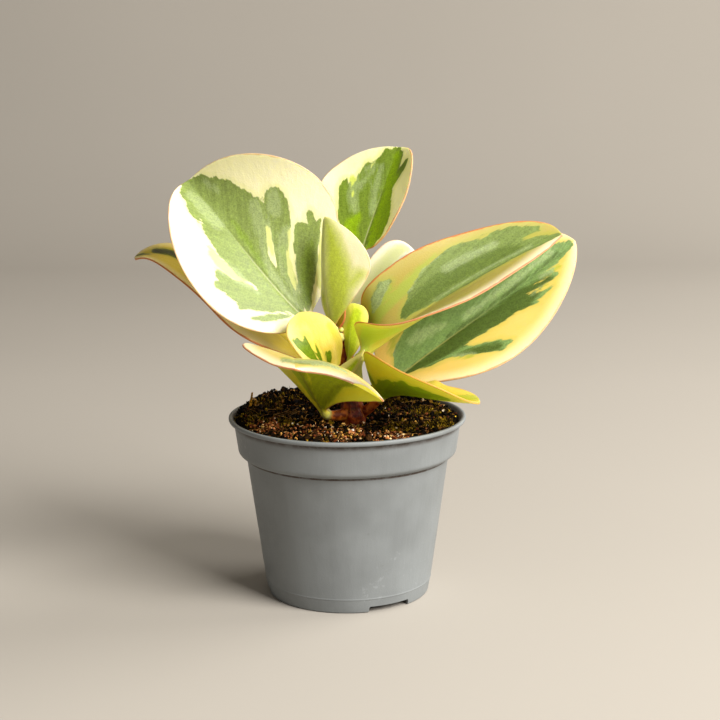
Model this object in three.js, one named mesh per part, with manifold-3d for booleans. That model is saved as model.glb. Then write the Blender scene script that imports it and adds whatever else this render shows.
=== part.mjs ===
// A variegated baby rubber plant (Peperomia obtusifolia) in a 9 cm nursery pot filled with potting mix.
// Millimetres, +Z up, X to the right, Y away from the front. Every piece is placed from the pot's axis, in the
// plane of its foot, and the whole is then centred: the origin is the middle of the base of its bounding box.
// Fleshy obovate leaves on short stalks leave one upright stem that stands in a hole in the mix.
import * as THREE from "three";
import { mergeVertices } from "three/addons/utils/BufferGeometryUtils.js";
import Module from "manifold-3d";

const wasm = await Module();
wasm.setup();

// Pot
const RIM_RADIUS = 45;
const RIM_TOP = 68.5;
const RIM_BOTTOM = 66.7;
const COLLAR_TOP_RADIUS = 43;
const COLLAR_FOOT_RADIUS = 41.6;
const COLLAR_FOOT = 56.4;
const BODY_TOP_RADIUS = 38.5;
const BODY_TOP = 53.4;
const RIDGE_RADIUS = 31.9;
const RIDGE_HEIGHT = 5.3;
const FOOT_RADIUS = 30.8;
const WALL = 1;
const FOOT_WALL = 1.3;
const FLOOR_UNDER = 2.3;
const FLOOR_TOP = 3.4;
const POT_SEGMENTS = 54;
const NOTCH_HEIGHT = 2.2;
const NOTCH_WIDTH = 17;
const NOTCH_FIRST = 30; // degrees from the front towards the right
const DRAIN_RADIUS = 3.2;
const DRAIN_CIRCLE = 19;
const DRAIN_COUNT = 6;

// Potting mix
const MIX_GAP = 0.3;
const MIX_LEVEL = 67.6;
const MIX_RISE_BACK = 0.07; // mm of height per mm towards the back
const MIX_RISE_LEFT = 0.03;
const MIX_DIP = 1.7;
const MIX_DIP_RADIUS = 11;
const MIX_SEGMENTS = 42;
const MIX_RINGS = [39.8, 35.5, 31, 26.5, 22, 17.5, 13, 9.5];

// Leaves
const JOINT_GAP = 0.3; // between a stalk's end and the stem
const BLADE_MIDDLE = 1.35; // thickness over the midrib
const BLADE_MARGIN = 0.8;
const CREASE_WIDTH = 2.5; // how far from the midrib the fold eases in
const MARGIN_WAVE = 0.35;
const TIP_HALF_WIDTH = 0.5;

const clamp = THREE.MathUtils.clamp;
const rad = THREE.MathUtils.degToRad;
const mix = THREE.MathUtils.lerp;
const ease = (x) => THREE.MathUtils.smoothstep(x, 0, 1);
const vector = (p) => new THREE.Vector3(...p);
const polar = (r, degrees, z) => [r * Math.sin(rad(degrees)), -r * Math.cos(rad(degrees)), z];

// A closed mesh from rings of equal size. Points j and n-1-j of a ring face each other, so that both
// faces of a blade are split along the same diagonals.
function skinRings(rings) {
  const n = rings[0].length;
  const half = n / 2;
  const positions = rings.flat().flatMap((p) => [p.x, p.y, p.z]);
  const index = [];
  const quad = (a, b, c, d, flip) => (flip ? index.push(a, b, d, b, c, d) : index.push(a, b, c, a, c, d));
  for (let i = 0; i + 1 < rings.length; i++) {
    for (let j = 0; j < n; j++) {
      const k = (j + 1) % n;
      quad(i * n + j, i * n + k, (i + 1) * n + k, (i + 1) * n + j, j >= half);
    }
  }
  const last = (rings.length - 1) * n;
  for (let j = 0; j + 1 < half; j++) {
    quad(j, n - 1 - j, n - 2 - j, j + 1, false);
    quad(last + j + 1, last + n - 2 - j, last + n - 1 - j, last + j, false);
  }
  const geometry = new THREE.BufferGeometry();
  geometry.setAttribute("position", new THREE.Float32BufferAttribute(positions, 3));
  geometry.setIndex(index);
  return geometry;
}

function toSolid(geometry) {
  const bare = geometry.clone();
  bare.deleteAttribute("normal");
  bare.deleteAttribute("uv");
  const merged = mergeVertices(bare, 1e-4);
  const mesh = new wasm.Mesh({
    numProp: 3,
    vertProperties: new Float32Array(merged.attributes.position.array),
    triVerts: new Uint32Array(merged.index.array),
  });
  mesh.merge();
  return new wasm.Manifold(mesh);
}

function toGeometry(solid) {
  const { vertProperties, triVerts, numProp } = solid.getMesh();
  const positions = [];
  for (let i = 0; i < vertProperties.length; i += numProp) positions.push(...vertProperties.slice(i, i + 3));
  const geometry = new THREE.BufferGeometry();
  geometry.setAttribute("position", new THREE.Float32BufferAttribute(positions, 3));
  geometry.setIndex(Array.from(triVerts));
  return geometry;
}

// Smooth pseudo-random heights, between -1 and 1, on a lattice of the given pitch.
function lumps(x, y, pitch, seed) {
  const corner = (i, j) => {
    const h = Math.sin(i * 127.1 + j * 311.7 + seed * 74.7) * 43758.5453;
    return 2 * (h - Math.floor(h)) - 1;
  };
  const [u, v] = [x / pitch, y / pitch];
  const [i, j] = [Math.floor(u), Math.floor(v)];
  const [a, b] = [ease(u - i), ease(v - j)];
  return mix(mix(corner(i, j), corner(i + 1, j), a), mix(corner(i, j + 1), corner(i + 1, j + 1), a), b);
}

// The stem: a knobbly upright shoot, thick and woody at its foot.
const STEM = [
  { at: [2.0, -2.0, 50], radius: 4.6 },
  { at: [2.0, -2.2, 60], radius: 5.0 },
  { at: [2.0, -2.4, 68], radius: 4.9 },
  { at: [1.4, -2.0, 75], radius: 3.9 },
  { at: [0.2, -1.2, 84], radius: 3.3 },
  { at: [-0.9, -1.0, 93], radius: 3.0 },
  { at: [-1.4, -1.0, 103], radius: 2.7 },
  { at: [-0.7, 0.0, 112], radius: 2.3 },
  { at: [0.6, 1.6, 119], radius: 1.9 },
];
const STEM_SIDES = 14;
const STEM_RINGS = 24;
const NODES_AT = [69, 76, 84, 92, 99, 106, 113]; // heights of the swellings that carry the stalks
const NODE_SWELL = 0.45;

function stemGeometry(extra) {
  const curve = new THREE.CatmullRomCurve3(STEM.map((s) => vector(s.at)));
  const rings = [];
  const count = STEM_RINGS + 3;
  for (let i = 0; i < count; i++) {
    const u = Math.min(i / STEM_RINGS, 1);
    const cap = [1, 0.8, 0.35][Math.max(0, i - STEM_RINGS)] ?? 1;
    const centre = curve.getPoint(u);
    const tangent = curve.getTangent(u);
    const step = u * (STEM.length - 1);
    const k = Math.min(Math.floor(step), STEM.length - 2);
    let radius = mix(STEM[k].radius, STEM[k + 1].radius, ease(step - k));
    for (const z of NODES_AT) radius += NODE_SWELL * Math.exp(-(((centre.z - z) / 1.6) ** 2));
    const beyond = Math.max(0, i - STEM_RINGS) * 0.75;
    centre.addScaledVector(tangent, beyond);
    const across = new THREE.Vector3(1, 0, 0).addScaledVector(tangent, -tangent.x).normalize();
    const other = new THREE.Vector3().crossVectors(tangent, across);
    const ring = [];
    for (let j = 0; j < STEM_SIDES; j++) {
      const angle = (2 * Math.PI * (j + 0.5)) / STEM_SIDES;
      const r = (radius + extra) * cap;
      ring.push(centre.clone().addScaledVector(across, r * Math.cos(angle)).addScaledVector(other, r * Math.sin(angle)));
    }
    rings.push(ring);
  }
  return skinRings(rings);
}

// Leaf data. rib: the four control points of the midrib, from the blade's base to its tip. face: the way
// the upper face looks, at the base and at the tip. half: greatest half width, left and right of the midrib
// with the tip up and the upper face towards you. outline, for each half: where along the blade it is widest,
// and the exponents of its basal and apical curves. fold and curl, for each half: degrees that it rises at the
// midrib and bends up across its width, at the base and at the tip. stalk: points on the stem's axis and on
// the way to the blade.
const LEAVES = {
  leaf_large_left: {
    rib: [[-14, -4.5, 104.5], [-30, -5.5, 119.5], [-45.5, -1.5, 142.5], [-59.5, 12, 156]],
    face: [[0.3, -0.82, 0.49], [0.07, -0.87, 0.49]],
    half: [27.5, 39],
    outline: [[0.51, 0.62, 0.59], [0.54, 0.56, 0.67]],
    fold: [[2, 26], [13, 33]],
    curl: [[-11, 18], [-6, 35]],
    stalk: [[-0.9, -1, 93.5], [-6, -2, 97.5]],
    stalkRadius: 1.9,
    columns: 10,
    rows: 20,
  },
  leaf_far_left: {
    rib: [[-11, -0.5, 87.5], [-32.5, 10.5, 100], [-62.5, 13, 136.5], [-80.5, 14, 126.5]],
    face: [[0.51, -0.4, 0.76], [0.12, -0.2, 0.97]],
    half: [21.5, 15.5],
    outline: [[0.43, 1.1, 0.57], [0.49, 0.7, 0.48]],
    fold: [[3, 13], [6, 3]],
    curl: [[-4, 3], [-9, 2]],
    stalk: [[0.3, -1.3, 84.5], [-4, -1, 85.3]],
    stalkRadius: 1.8,
    columns: 8,
    rows: 20,
  },
  leaf_top: {
    rib: [[6, 5, 130], [9, 5, 140.5], [15.5, 9, 155.5], [19.5, 15, 168]],
    face: [[-0.17, -0.9, 0.41], [-0.33, -0.85, 0.42]],
    half: [24.5, 14],
    outline: [[0.52, 0.7, 0.42], [0.63, 0.7, 0.3]],
    fold: [[11, -7], [33, 34]],
    curl: [[-3, -4], [6, 7]],
    stalk: [[-0.3, 0.4, 114], [2, 5, 120]],
    stalkRadius: 1.6,
    columns: 8,
    rows: 18,
  },
  leaf_centre_upright: {
    rib: [[-4.5, -8, 102.5], [-7.5, -12, 116], [-8.5, -12, 131], [-7.3, -8.5, 144.5]],
    face: [[0.77, 0.63, 0], [0.71, 0.71, 0]],
    half: [17, 10],
    outline: [[0.6, 1.3, 0.75], [0.5, 0.9, 0.75]],
    fold: [[43, 37], [8, 88]],
    curl: [[9, 1], [0, 0]],
    stalk: [[-1.2, -1, 99], [-2.8, -6.8, 98]],
    stalkRadius: 1.4,
    columns: 6,
    rows: 16,
  },
  leaf_back_pale: {
    rib: [[1.5, 5, 104.5], [8, 10, 112.5], [23.5, 15, 132], [26.5, 22, 127]],
    face: [[-0.35, -0.77, 0.53], [-0.15, -0.75, 0.65]],
    half: [9.5, 10],
    outline: [[0.69, 0.66, 0.62], [0.6, 0.7, 0.6]],
    fold: [[6, 7], [15, 10]],
    curl: [[-4, 2], [0, 0]],
    stalk: [[-1.1, -0.5, 106], [-0.4, 4, 103]],
    stalkRadius: 1.2,
    columns: 6,
    rows: 14,
  },
  leaf_small_round: {
    rib: [[-7, -7, 88], [-7, -16, 92], [-12.5, -21, 105], [-17.5, -13, 109.5]],
    face: [[-0.15, -0.81, 0.57], [-0.07, -0.77, 0.63]],
    half: [9.5, 9],
    outline: [[0.73, 0.66, 0.56], [0.55, 0.62, 0.62]],
    fold: [[19, 16], [10, 4]],
    curl: [[14, 6], [1, 0]],
    stalk: [[0.7, -1.6, 80], [-3.5, -5.5, 81.3]],
    stalkRadius: 1.3,
    columns: 6,
    rows: 14,
  },
  leaf_right_upper: {
    rib: [[5.5, -11.5, 93], [24, -13.5, 106], [43, -10, 122], [80, -4.5, 136.5]],
    face: [[0.79, 0.08, 0.61], [-0.25, -0.5, 0.83]],
    half: [22, 19],
    outline: [[0.34, 0.35, 0.37], [0.36, 0.41, 0.85]],
    fold: [[58, 14], [62, 10]],
    curl: [[29, 15], [-8, -11]],
    stalk: [[1, -1.7, 77.5], [5, -9, 80]],
    stalkRadius: 2.1,
    columns: 10,
    rows: 22,
  },
  leaf_right_lower: {
    rib: [[18.5, 1.5, 81], [36, 3.5, 97], [62.5, 8, 110.5], [87.5, 16, 132]],
    face: [[-0.2, -0.78, 0.6], [-0.23, -0.88, 0.43]],
    half: [24.5, 23],
    outline: [[0.51, 0.35, 0.5], [0.49, 1.14, 0.7]],
    fold: [[21, 12], [18, 3]],
    curl: [[1, 2], [-1, -1]],
    stalk: [[1.4, -2, 75], [9, 2.5, 76.5]],
    stalkRadius: 1.9,
    columns: 10,
    rows: 20,
  },
  leaf_front_left: {
    rib: [[-8, -9.5, 71], [-16.5, -18, 87.5], [-20.5, -35, 103.5], [-18, -48.5, 95.5]],
    face: [[0.26, 0.61, 0.75], [0.22, -0.21, 0.95]],
    half: [36.5, 23.5],
    outline: [[0.61, 1.22, 0.81], [0.42, 0.58, 0.81]],
    fold: [[16, 25], [51, -4]],
    curl: [[-51, -64], [-13, -37]],
    stalk: [[1.8, -2.4, 70], [-3, -7.5, 69.5]],
    stalkRadius: 2.0,
    columns: 10,
    rows: 18,
  },
  leaf_front_right: {
    rib: [[12.5, -4.5, 75.5], [21.5, -18, 83], [24, -28.5, 80.5], [48, -29, 79]],
    face: [[-0.1, 0.36, 0.93], [-0.12, 0.09, 0.99]],
    half: [12.5, 23.5],
    outline: [[0.46, 0.7, 0.3], [0.4, 0.7, 0.6]],
    fold: [[25, 25], [60, 20]],
    curl: [[-14, 9], [16, -17]],
    stalk: [[2, -2.4, 68.8], [7.5, -5, 69.5]],
    stalkRadius: 1.8,
    columns: 8,
    rows: 16,
  },
  leaf_young_upright: {
    rib: [[1, -4.9, 90.5], [1.2, -6.2, 97], [1.8, -6, 105], [3.2, -4, 111.5]],
    face: [[0.55, 0.83, 0.1], [0.3, 0.93, 0.2]],
    half: [6, 2],
    outline: [[0.75, 0.8, 0.3], [0.6, 0.5, 0.45]],
    fold: [[35, 25], [45, 40]],
    curl: [[5, 0], [0, 0]],
    stalk: [[0, -1.2, 86.5], [0.4, -4.8, 87]],
    stalkRadius: 1.1,
    columns: 6,
    rows: 12,
  },
  leaf_young_olive: {
    rib: [[-1.6, -5, 102.5], [-2, -6, 105], [-1.2, -5.6, 110], [0.3, -4.4, 114]],
    face: [[0.6, 0.8, 0], [0.5, 0.86, 0.1]],
    half: [3, 2],
    outline: [[0.45, 0.8, 0.7], [0.45, 0.8, 0.7]],
    fold: [[35, 30], [45, 40]],
    curl: [[0, 0], [0, 0]],
    stalk: [[-1.3, -1, 101.5], [-1.4, -4.6, 101]],
    stalkRadius: 0.8,
    columns: 6,
    rows: 10,
  },
  leaf_small_inner: {
    rib: [[-5, -12.8, 84.5], [-3.5, -14.3, 87], [0, -14.8, 90], [3.2, -15, 91.7]],
    face: [[-0.2, -0.82, 0.53], [-0.3, -0.8, 0.5]],
    half: [3.5, 5],
    outline: [[0.4, 0.6, 0.9], [0.4, 0.6, 0.9]],
    fold: [[10, 5], [15, 10]],
    curl: [[0, 0], [0, 0]],
    stalk: [[1, -1.8, 76], [-3.8, -8.5, 78]],
    stalkRadius: 0.9,
    columns: 6,
    rows: 12,
  },
};

// Half width at s, from 0 at the base to 1 at the tip.
function halfWidth(s, [widest, basal, apical]) {
  if (s < widest) return Math.sin((Math.PI / 2) * clamp(s / widest, 0, 1)) ** basal;
  return Math.cos((Math.PI / 2) * clamp((s - widest) / (1 - widest), 0, 1)) ** apical;
}

// The frame of a curve: along, up (the way the upper face looks) and across to the right.
function frameAt(tangent, facing) {
  const along = tangent.clone().normalize();
  const up = facing.clone().addScaledVector(along, -facing.dot(along)).normalize();
  const right = new THREE.Vector3().crossVectors(along, up);
  return { up, right };
}

// Offset from the midrib of a point q of the way to a margin, as [across, up], and the slope there.
function section(q, width, fold, curl) {
  const steps = 12;
  let [across, up, slope] = [0, 0, 0];
  for (let i = 0; i < steps; i++) {
    const at = ((i + 0.5) / steps) * q;
    slope = fold * (1 - Math.exp((-at * width) / CREASE_WIDTH)) + curl * at;
    across += (Math.cos(slope) * q * width) / steps;
    up += (Math.sin(slope) * q * width) / steps;
  }
  slope = fold * (1 - Math.exp((-q * width) / CREASE_WIDTH)) + curl * q;
  return [across, up, slope];
}

function leafGeometry(leaf) {
  const rib = new THREE.CubicBezierCurve3(...leaf.rib.map(vector));
  const [faceBase, faceTip] = leaf.face.map(vector);
  const base = rib.getPoint(0);
  const start = rib.getTangent(0);
  const [onStem, bend] = leaf.stalk.map(vector);
  const reach = base.distanceTo(bend) * 0.4;
  const stalk = new THREE.CubicBezierCurve3(onStem, bend, base.clone().addScaledVector(start, -reach), base);
  const { columns, rows, stalkRadius } = leaf;
  const half = columns + 1;
  const rings = [];

  const circle = (centre, up, right, radius) => {
    const ring = [];
    for (let j = 0; j < 2 * half; j++) {
      const angle = Math.PI - ((j + 0.5) * Math.PI) / half;
      const point = centre.clone().addScaledVector(right, radius * Math.cos(angle));
      ring.push(point.addScaledVector(up, radius * Math.sin(angle)));
    }
    return ring;
  };

  const stalkRings = 5;
  for (let i = 0; i < stalkRings; i++) {
    const u = i / stalkRings;
    const { up, right } = frameAt(stalk.getTangent(u), faceBase);
    rings.push(circle(stalk.getPoint(u), up, right, stalkRadius * mix(1.3, 1, ease(u * 1.4))));
  }

  for (let i = 0; i <= rows; i++) {
    const u = i / rows;
    const s = mix(u, 0.5 - 0.5 * Math.cos(Math.PI * u), 0.75);
    const centre = rib.getPoint(s);
    const { up, right } = frameAt(rib.getTangent(s), faceBase.clone().lerp(faceTip, s));
    const blend = ease(s / 0.07);
    const round = circle(centre, up, right, stalkRadius * mix(1, 0.7, blend));
    const upper = [];
    const lower = [];
    for (let j = 0; j <= columns; j++) {
      const t = -1 + (2 * j) / columns;
      const side = t < 0 ? 0 : 1;
      const q = Math.abs(t);
      const width = Math.max(leaf.half[side] * halfWidth(s, leaf.outline[side]), TIP_HALF_WIDTH);
      const fold = rad(mix(...leaf.fold[side], s));
      const curl = rad(mix(...leaf.curl[side], s));
      const [across, rise, slope] = section(q, width, fold, curl);
      const sign = side ? 1 : -1;
      const wave = MARGIN_WAVE * q * q * Math.sin(15 * s + side * 2) * Math.min(1, width / 12);
      const point = centre.clone().addScaledVector(right, sign * across).addScaledVector(up, rise + wave);
      const tilt = slope * Math.min(1, (q * width) / 2);
      const normal = up.clone().multiplyScalar(Math.cos(tilt)).addScaledVector(right, -sign * Math.sin(tilt));
      const thick = mix(BLADE_MIDDLE, BLADE_MARGIN, q * q) * mix(1, 0.75, s);
      const thickness = Math.max(thick, 0.65);
      upper.push(point.clone().addScaledVector(normal, thickness / 2));
      lower.push(point.clone().addScaledVector(normal, -thickness / 2));
    }
    const blade = [...upper, ...lower.reverse()];
    rings.push(blade.map((p, j) => round[j].clone().lerp(p, blend)));
  }
  return skinRings(rings);
}

function potGeometry() {
  const profile = [
    [0, FLOOR_UNDER], [FOOT_RADIUS - FOOT_WALL, FLOOR_UNDER], [FOOT_RADIUS - FOOT_WALL, 0], [FOOT_RADIUS, 0],
    [RIDGE_RADIUS, RIDGE_HEIGHT], [BODY_TOP_RADIUS, BODY_TOP], [COLLAR_FOOT_RADIUS - 0.6, COLLAR_FOOT - 0.9],
    [COLLAR_FOOT_RADIUS, COLLAR_FOOT], [COLLAR_TOP_RADIUS, RIM_BOTTOM], [RIM_RADIUS, RIM_BOTTOM + 0.3],
    [RIM_RADIUS, RIM_TOP - 0.4], [RIM_RADIUS - 0.5, RIM_TOP], [COLLAR_TOP_RADIUS - WALL + 0.4, RIM_TOP],
    [COLLAR_TOP_RADIUS - WALL, RIM_BOTTOM], [COLLAR_FOOT_RADIUS - WALL, COLLAR_FOOT + 0.2],
    [BODY_TOP_RADIUS - WALL, BODY_TOP + 0.4], [RIDGE_RADIUS - WALL, RIDGE_HEIGHT], [RIDGE_RADIUS - WALL - 0.6, FLOOR_TOP],
    [0, FLOOR_TOP],
  ].map(([r, z]) => new THREE.Vector2(r, z));
  const body = new THREE.LatheGeometry(profile, POT_SEGMENTS).rotateX(Math.PI / 2);
  let pot = toSolid(body);
  for (let i = 0; i < 3; i++) {
    const bearing = NOTCH_FIRST + 120 * i;
    const block = new THREE.BoxGeometry(NOTCH_WIDTH, 10, 2 * NOTCH_HEIGHT);
    block.rotateZ(rad(bearing)).translate(...polar(FOOT_RADIUS, bearing, 0));
    pot = pot.subtract(toSolid(block));
  }
  for (let i = 0; i < DRAIN_COUNT; i++) {
    const drain = new THREE.CylinderGeometry(DRAIN_RADIUS, DRAIN_RADIUS, 8, 16).rotateX(Math.PI / 2);
    drain.translate(...polar(DRAIN_CIRCLE, (360 * i) / DRAIN_COUNT, FLOOR_TOP));
    pot = pot.subtract(toSolid(drain));
  }
  return toGeometry(pot);
}

function mixTop(x, y) {
  const fromStem = Math.hypot(x - STEM[2].at[0], y - STEM[2].at[1]);
  const dip = MIX_DIP * Math.exp(-((fromStem / MIX_DIP_RADIUS) ** 2));
  const rough = 0.55 * lumps(x, y, 7, 1) + 0.4 * lumps(x, y, 3.7, 2);
  return MIX_LEVEL + MIX_RISE_BACK * y - MIX_RISE_LEFT * x - dip + rough;
}

function soilGeometry() {
  const wall = [
    [RIDGE_RADIUS - WALL - 0.6, FLOOR_TOP], [RIDGE_RADIUS - WALL, RIDGE_HEIGHT], [BODY_TOP_RADIUS - WALL, BODY_TOP + 0.4],
    [COLLAR_FOOT_RADIUS - WALL, COLLAR_FOOT + 0.2], [COLLAR_TOP_RADIUS - WALL, RIM_BOTTOM - 1.4],
  ];
  const side = wall.map(([r, z], i) => [r - MIX_GAP * 1.2, z + (i === 0 ? MIX_GAP : 0)]);
  const top = MIX_RINGS.map((r) => [r, MIX_LEVEL]);
  const profile = [[0, FLOOR_TOP + MIX_GAP], ...side, ...top, [0, MIX_LEVEL]];
  const body = new THREE.LatheGeometry(profile.map(([r, z]) => new THREE.Vector2(r, z)), MIX_SEGMENTS);
  body.rotateX(Math.PI / 2);
  const position = body.attributes.position;
  for (let i = 0; i < position.count; i++) {
    if (position.getZ(i) < MIX_LEVEL - 0.01) continue;
    position.setZ(i, mixTop(position.getX(i), position.getY(i)));
  }
  return toGeometry(toSolid(body).subtract(toSolid(stemGeometry(JOINT_GAP))));
}

const potPlastic = new THREE.MeshStandardMaterial({ color: 0x77766f, roughness: 0.62, metalness: 0 });
const pottingMix = new THREE.MeshStandardMaterial({ color: 0x2e2418, roughness: 1, metalness: 0 });
const stemSkin = new THREE.MeshStandardMaterial({ color: 0x7a3318, roughness: 0.5, metalness: 0 });
const leafFlesh = new THREE.MeshStandardMaterial({ color: 0x9fb04f, roughness: 0.4, metalness: 0 });

function named(name, geometry, material) {
  const mesh = new THREE.Mesh(geometry, material);
  mesh.name = name;
  return mesh;
}

const plant = new THREE.Group();
plant.add(named("stem", stemGeometry(0), stemSkin));
const clearance = toSolid(stemGeometry(JOINT_GAP));
for (const [name, leaf] of Object.entries(LEAVES)) {
  const blade = toSolid(leafGeometry(leaf)).subtract(clearance);
  plant.add(named(name, toGeometry(blade), leafFlesh));
}

const object = new THREE.Group();
object.name = "potted_peperomia";
object.add(named("pot", potGeometry(), potPlastic), named("potting_mix", soilGeometry(), pottingMix), plant);
const middle = new THREE.Box3().setFromObject(object).getCenter(new THREE.Vector3());
object.position.set(-middle.x, -middle.y, 0);

export default object;
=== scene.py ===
import math
import random

import bmesh
import bpy
import numpy as np
from bpy.props import FloatProperty, FloatVectorProperty, IntProperty, PointerProperty
from mathutils import Matrix, Vector, noise


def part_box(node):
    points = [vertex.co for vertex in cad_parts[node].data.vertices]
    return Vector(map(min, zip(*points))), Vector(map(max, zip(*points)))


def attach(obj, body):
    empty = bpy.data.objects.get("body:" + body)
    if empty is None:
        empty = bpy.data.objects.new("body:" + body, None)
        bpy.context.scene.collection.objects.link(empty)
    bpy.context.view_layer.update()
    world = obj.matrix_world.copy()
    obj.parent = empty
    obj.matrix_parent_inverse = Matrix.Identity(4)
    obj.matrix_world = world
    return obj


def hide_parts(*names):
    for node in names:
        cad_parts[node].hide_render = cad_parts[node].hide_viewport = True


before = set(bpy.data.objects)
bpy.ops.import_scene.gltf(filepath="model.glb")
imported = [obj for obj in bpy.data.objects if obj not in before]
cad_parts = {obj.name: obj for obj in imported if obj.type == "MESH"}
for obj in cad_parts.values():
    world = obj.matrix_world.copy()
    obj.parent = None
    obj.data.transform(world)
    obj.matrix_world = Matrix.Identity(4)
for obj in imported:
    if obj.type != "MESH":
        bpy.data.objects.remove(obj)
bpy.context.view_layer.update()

bl_info = {
    "name": "Potted Peperomia",
    "version": (1, 0, 0),
    "blender": (4, 5, 0),
    "location": "3D View > Sidebar > Peperomia",
    "description": "Builds a variegated peperomia in its nursery pot, on a plain studio floor",
    "category": "Object",
}

MM = 0.001
POT_LOW, POT_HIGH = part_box("pot")
AXIS = (POT_LOW + POT_HIGH) / 2
RIM_TOP = POT_HIGH.z / MM


def metres(points):
    """Millimetres from the pot's axis as metres in the frame."""
    return np.asarray(points, float) * MM + (AXIS.x, AXIS.y, 0)


def linear(red, green, blue):
    """A display colour, 0 to 255, as linear light."""
    parts = [c / 255 for c in (red, green, blue)]
    return tuple(c / 12.92 if c <= 0.04045 else ((c + 0.055) / 1.055) ** 2.4 for c in parts)


def color_property(name, description, color):
    return FloatVectorProperty(
        name=name, description=description, subtype="COLOR", min=0, max=1, default=color)


def mm_property(name, description, default):
    return FloatProperty(
        name=name, description=description, default=default * MM, unit="LENGTH", precision=4)


def power_property(name, description, default):
    return FloatProperty(name=name, description=description, default=default, unit="POWER")


def count_property(name, description, default):
    return IntProperty(name=name, description=description, default=default, min=0)


# Every leaf. rib: the midrib's four control points, from the blade's base to its tip. face: the way that
# the upper face looks, at the base and at the tip. half: greatest half width, left and right of the
# midrib, with the tip up. outline: where each half is widest, and the exponents of its basal and apical
# curves. fold and curl: degrees that each half rises at the midrib and bends up across its width, at the
# base and at the tip. stalk: points on the stem's axis and on the way to the blade. rake: how steeply the
# side veins rise. rim: how pale the left and right borders are; this pale border is partly the blade's
# own cream and partly painted sheen along the margins. crease: how far from the midrib a fold eases in.
# groove: depth of the midrib's furrow. hues: display colours, 0 to 255, of its palest parts, wash, green
# and deep green. lower: tint of its lower face; above 1 it is painted light, which brightens a lower face
# that lies in shade. blush: strength of its red margin. softness: of its green's edges, in millimetres.
# flush: how far up the stalk the stem's red reaches, 0 to 1. The last four are brush strokes of (across,
# along, radius) on the flattened blade: green on cream, cut back to cream, deep green, pale wash. Some
# wash strokes on the green stand partly for painted sheen.
PLAIN = dict(
    curl=[(0, 0), (0, 0)], pale_rim_and_sheen=(0.5, 0.5), crease=2.5, groove=1, green=(), cut=(), deep=(), wash=(),
)
LEAVES = {}
LEAVES["large_left"] = dict(
    PLAIN,
    rib=[(-14, -4.5, 104.5), (-30, -5.5, 119.5), (-45.5, -1.5, 142.5), (-59.5, 12, 156)],
    face=[(0.3, -0.82, 0.49), (0.07, -0.87, 0.49)], half=(27.5, 39),
    outline=[(0.51, 0.62, 0.59), (0.54, 0.56, 0.67)], fold=[(2, 26), (13, 33)],
    curl=[(-11, 18), (-6, 35)], stalk=[(-0.9, -1, 93.5), (-6, -2, 97.5)], stalk_radius=1.9,
    rake=1.5, pale_rim_and_sheen=(0.35, 0.35),
    hues=[(248, 240, 202), (212, 216, 142), (134, 150, 80), (132, 156, 56)],
    lower=(0.92, 0.95, 0.62), blush=0.6, softness=0.25, flush=0.2,
    green=[
        [(0, 3, 2), (-0.2, 10, 3), (-1, 20, 6.3), (-1.5, 30, 7.6), (-0.5, 40, 9.6), (1.5, 50, 10),
         (0.6, 58, 9.2), (0.2, 64, 7.6), (-1, 69.5, 3)],
        [(4, 36, 6), (7.5, 44, 7.4), (9, 50, 6.8), (7.5, 56, 6.2), (5.5, 61, 5)],
        [(-2, 9, 1), (-5.5, 17, 4.6), (-12, 23, 4.5), (-14.5, 28.6, 3.6), (-18.4, 32, 1.5)],
        [(-13, 27, 3), (-15.3, 34.6, 1.2)],
        [(-12, 20, 2.2), (-16.6, 21.6, 0.6)],
        [(-3.4, 7.2, 0.7), (-7, 10, 1.1), (-12, 13.6, 1.3), (-16, 16.4, 0.5)],
        [(2, 6, 1.2), (5.5, 17, 2.6), (11.8, 29.3, 3.3), (17.7, 37.2, 4.2), (20.6, 42.2, 4.5),
         (21.6, 43.8, 4)],
        [(12, 40, 3), (15.6, 46.8, 1.9)],
        [(4, 4.5, 1.6), (10, 12.3, 3.4), (17.7, 21, 4.2), (23.2, 27, 4.5), (27.6, 31.4, 1.6)],
        [(17, 24, 3), (22, 31.2, 1.3)],
        [(22, 24, 3.4), (28.8, 27.4, 1.2)],
    ],
    cut=[
        [(5.5, 13, 0.5), (8, 19, 1.4), (11.5, 23.5, 1.2), (15.4, 28, 1), (18.4, 31.8, 1.2)],
        [(7, 28, 0.3), (9, 32, 1.2), (12.3, 37.8, 0.9)],
        [(-6.5, 23, 0.2), (-8.5, 28, 0.5), (-11.5, 33, 0.9)],
        [(-6, 11, 0.1), (-10, 14.2, 0.4), (-15.5, 19, 0.9)],
        [(-7.5, 53, 0.6), (-7, 55, 0.2)],
        [(16.4, 43.5, 0.1), (17.6, 47, 0.7)],
        [(24.6, 29.6, 0.1), (25.4, 33, 0.6)],
    ],
    deep=[
        [(5, 6, 1.4), (11, 13.5, 2.2), (17, 19.5, 1.8), (21, 23, 0.8)],
        [(2, 26, 0.4), (3, 40, 1.6), (3.5, 48, 0.6)],
        [(7, 19, 0.8), (12, 28, 1.2)],
    ],
    wash=[
        # This wash stroke along the fold is partly a pale grey-green zone of the blade and partly a painted
        # sheen band.
        [(0.8, 7, 0.8), (1.8, 18, 1.6), (4, 28, 1.6), (8, 36, 1.6), (12, 43, 2.6), (14, 47, 2)],
        [(-2, 50, 2.5), (-3, 60, 2.2), (-3, 66, 1.5)],
        [(19, 41, 2.5), (22, 45, 2.5)],
        [(6.5, 60, 0.8), (5.5, 66, 1)],
        [(5.5, 12, 1.6), (8, 20, 2.6), (12, 28, 2.4), (17, 32, 1.8)],
        [(26, 22, 1.5), (21, 15, 2.2), (14, 8, 2)],
        [(7, 28, 1), (10, 35, 2.4), (12.3, 39, 2)],
        [(-7, 22, 1), (-9.5, 30, 2.2), (-12.5, 38, 2.4), (-11.5, 44, 1)],
    ],
)
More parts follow.
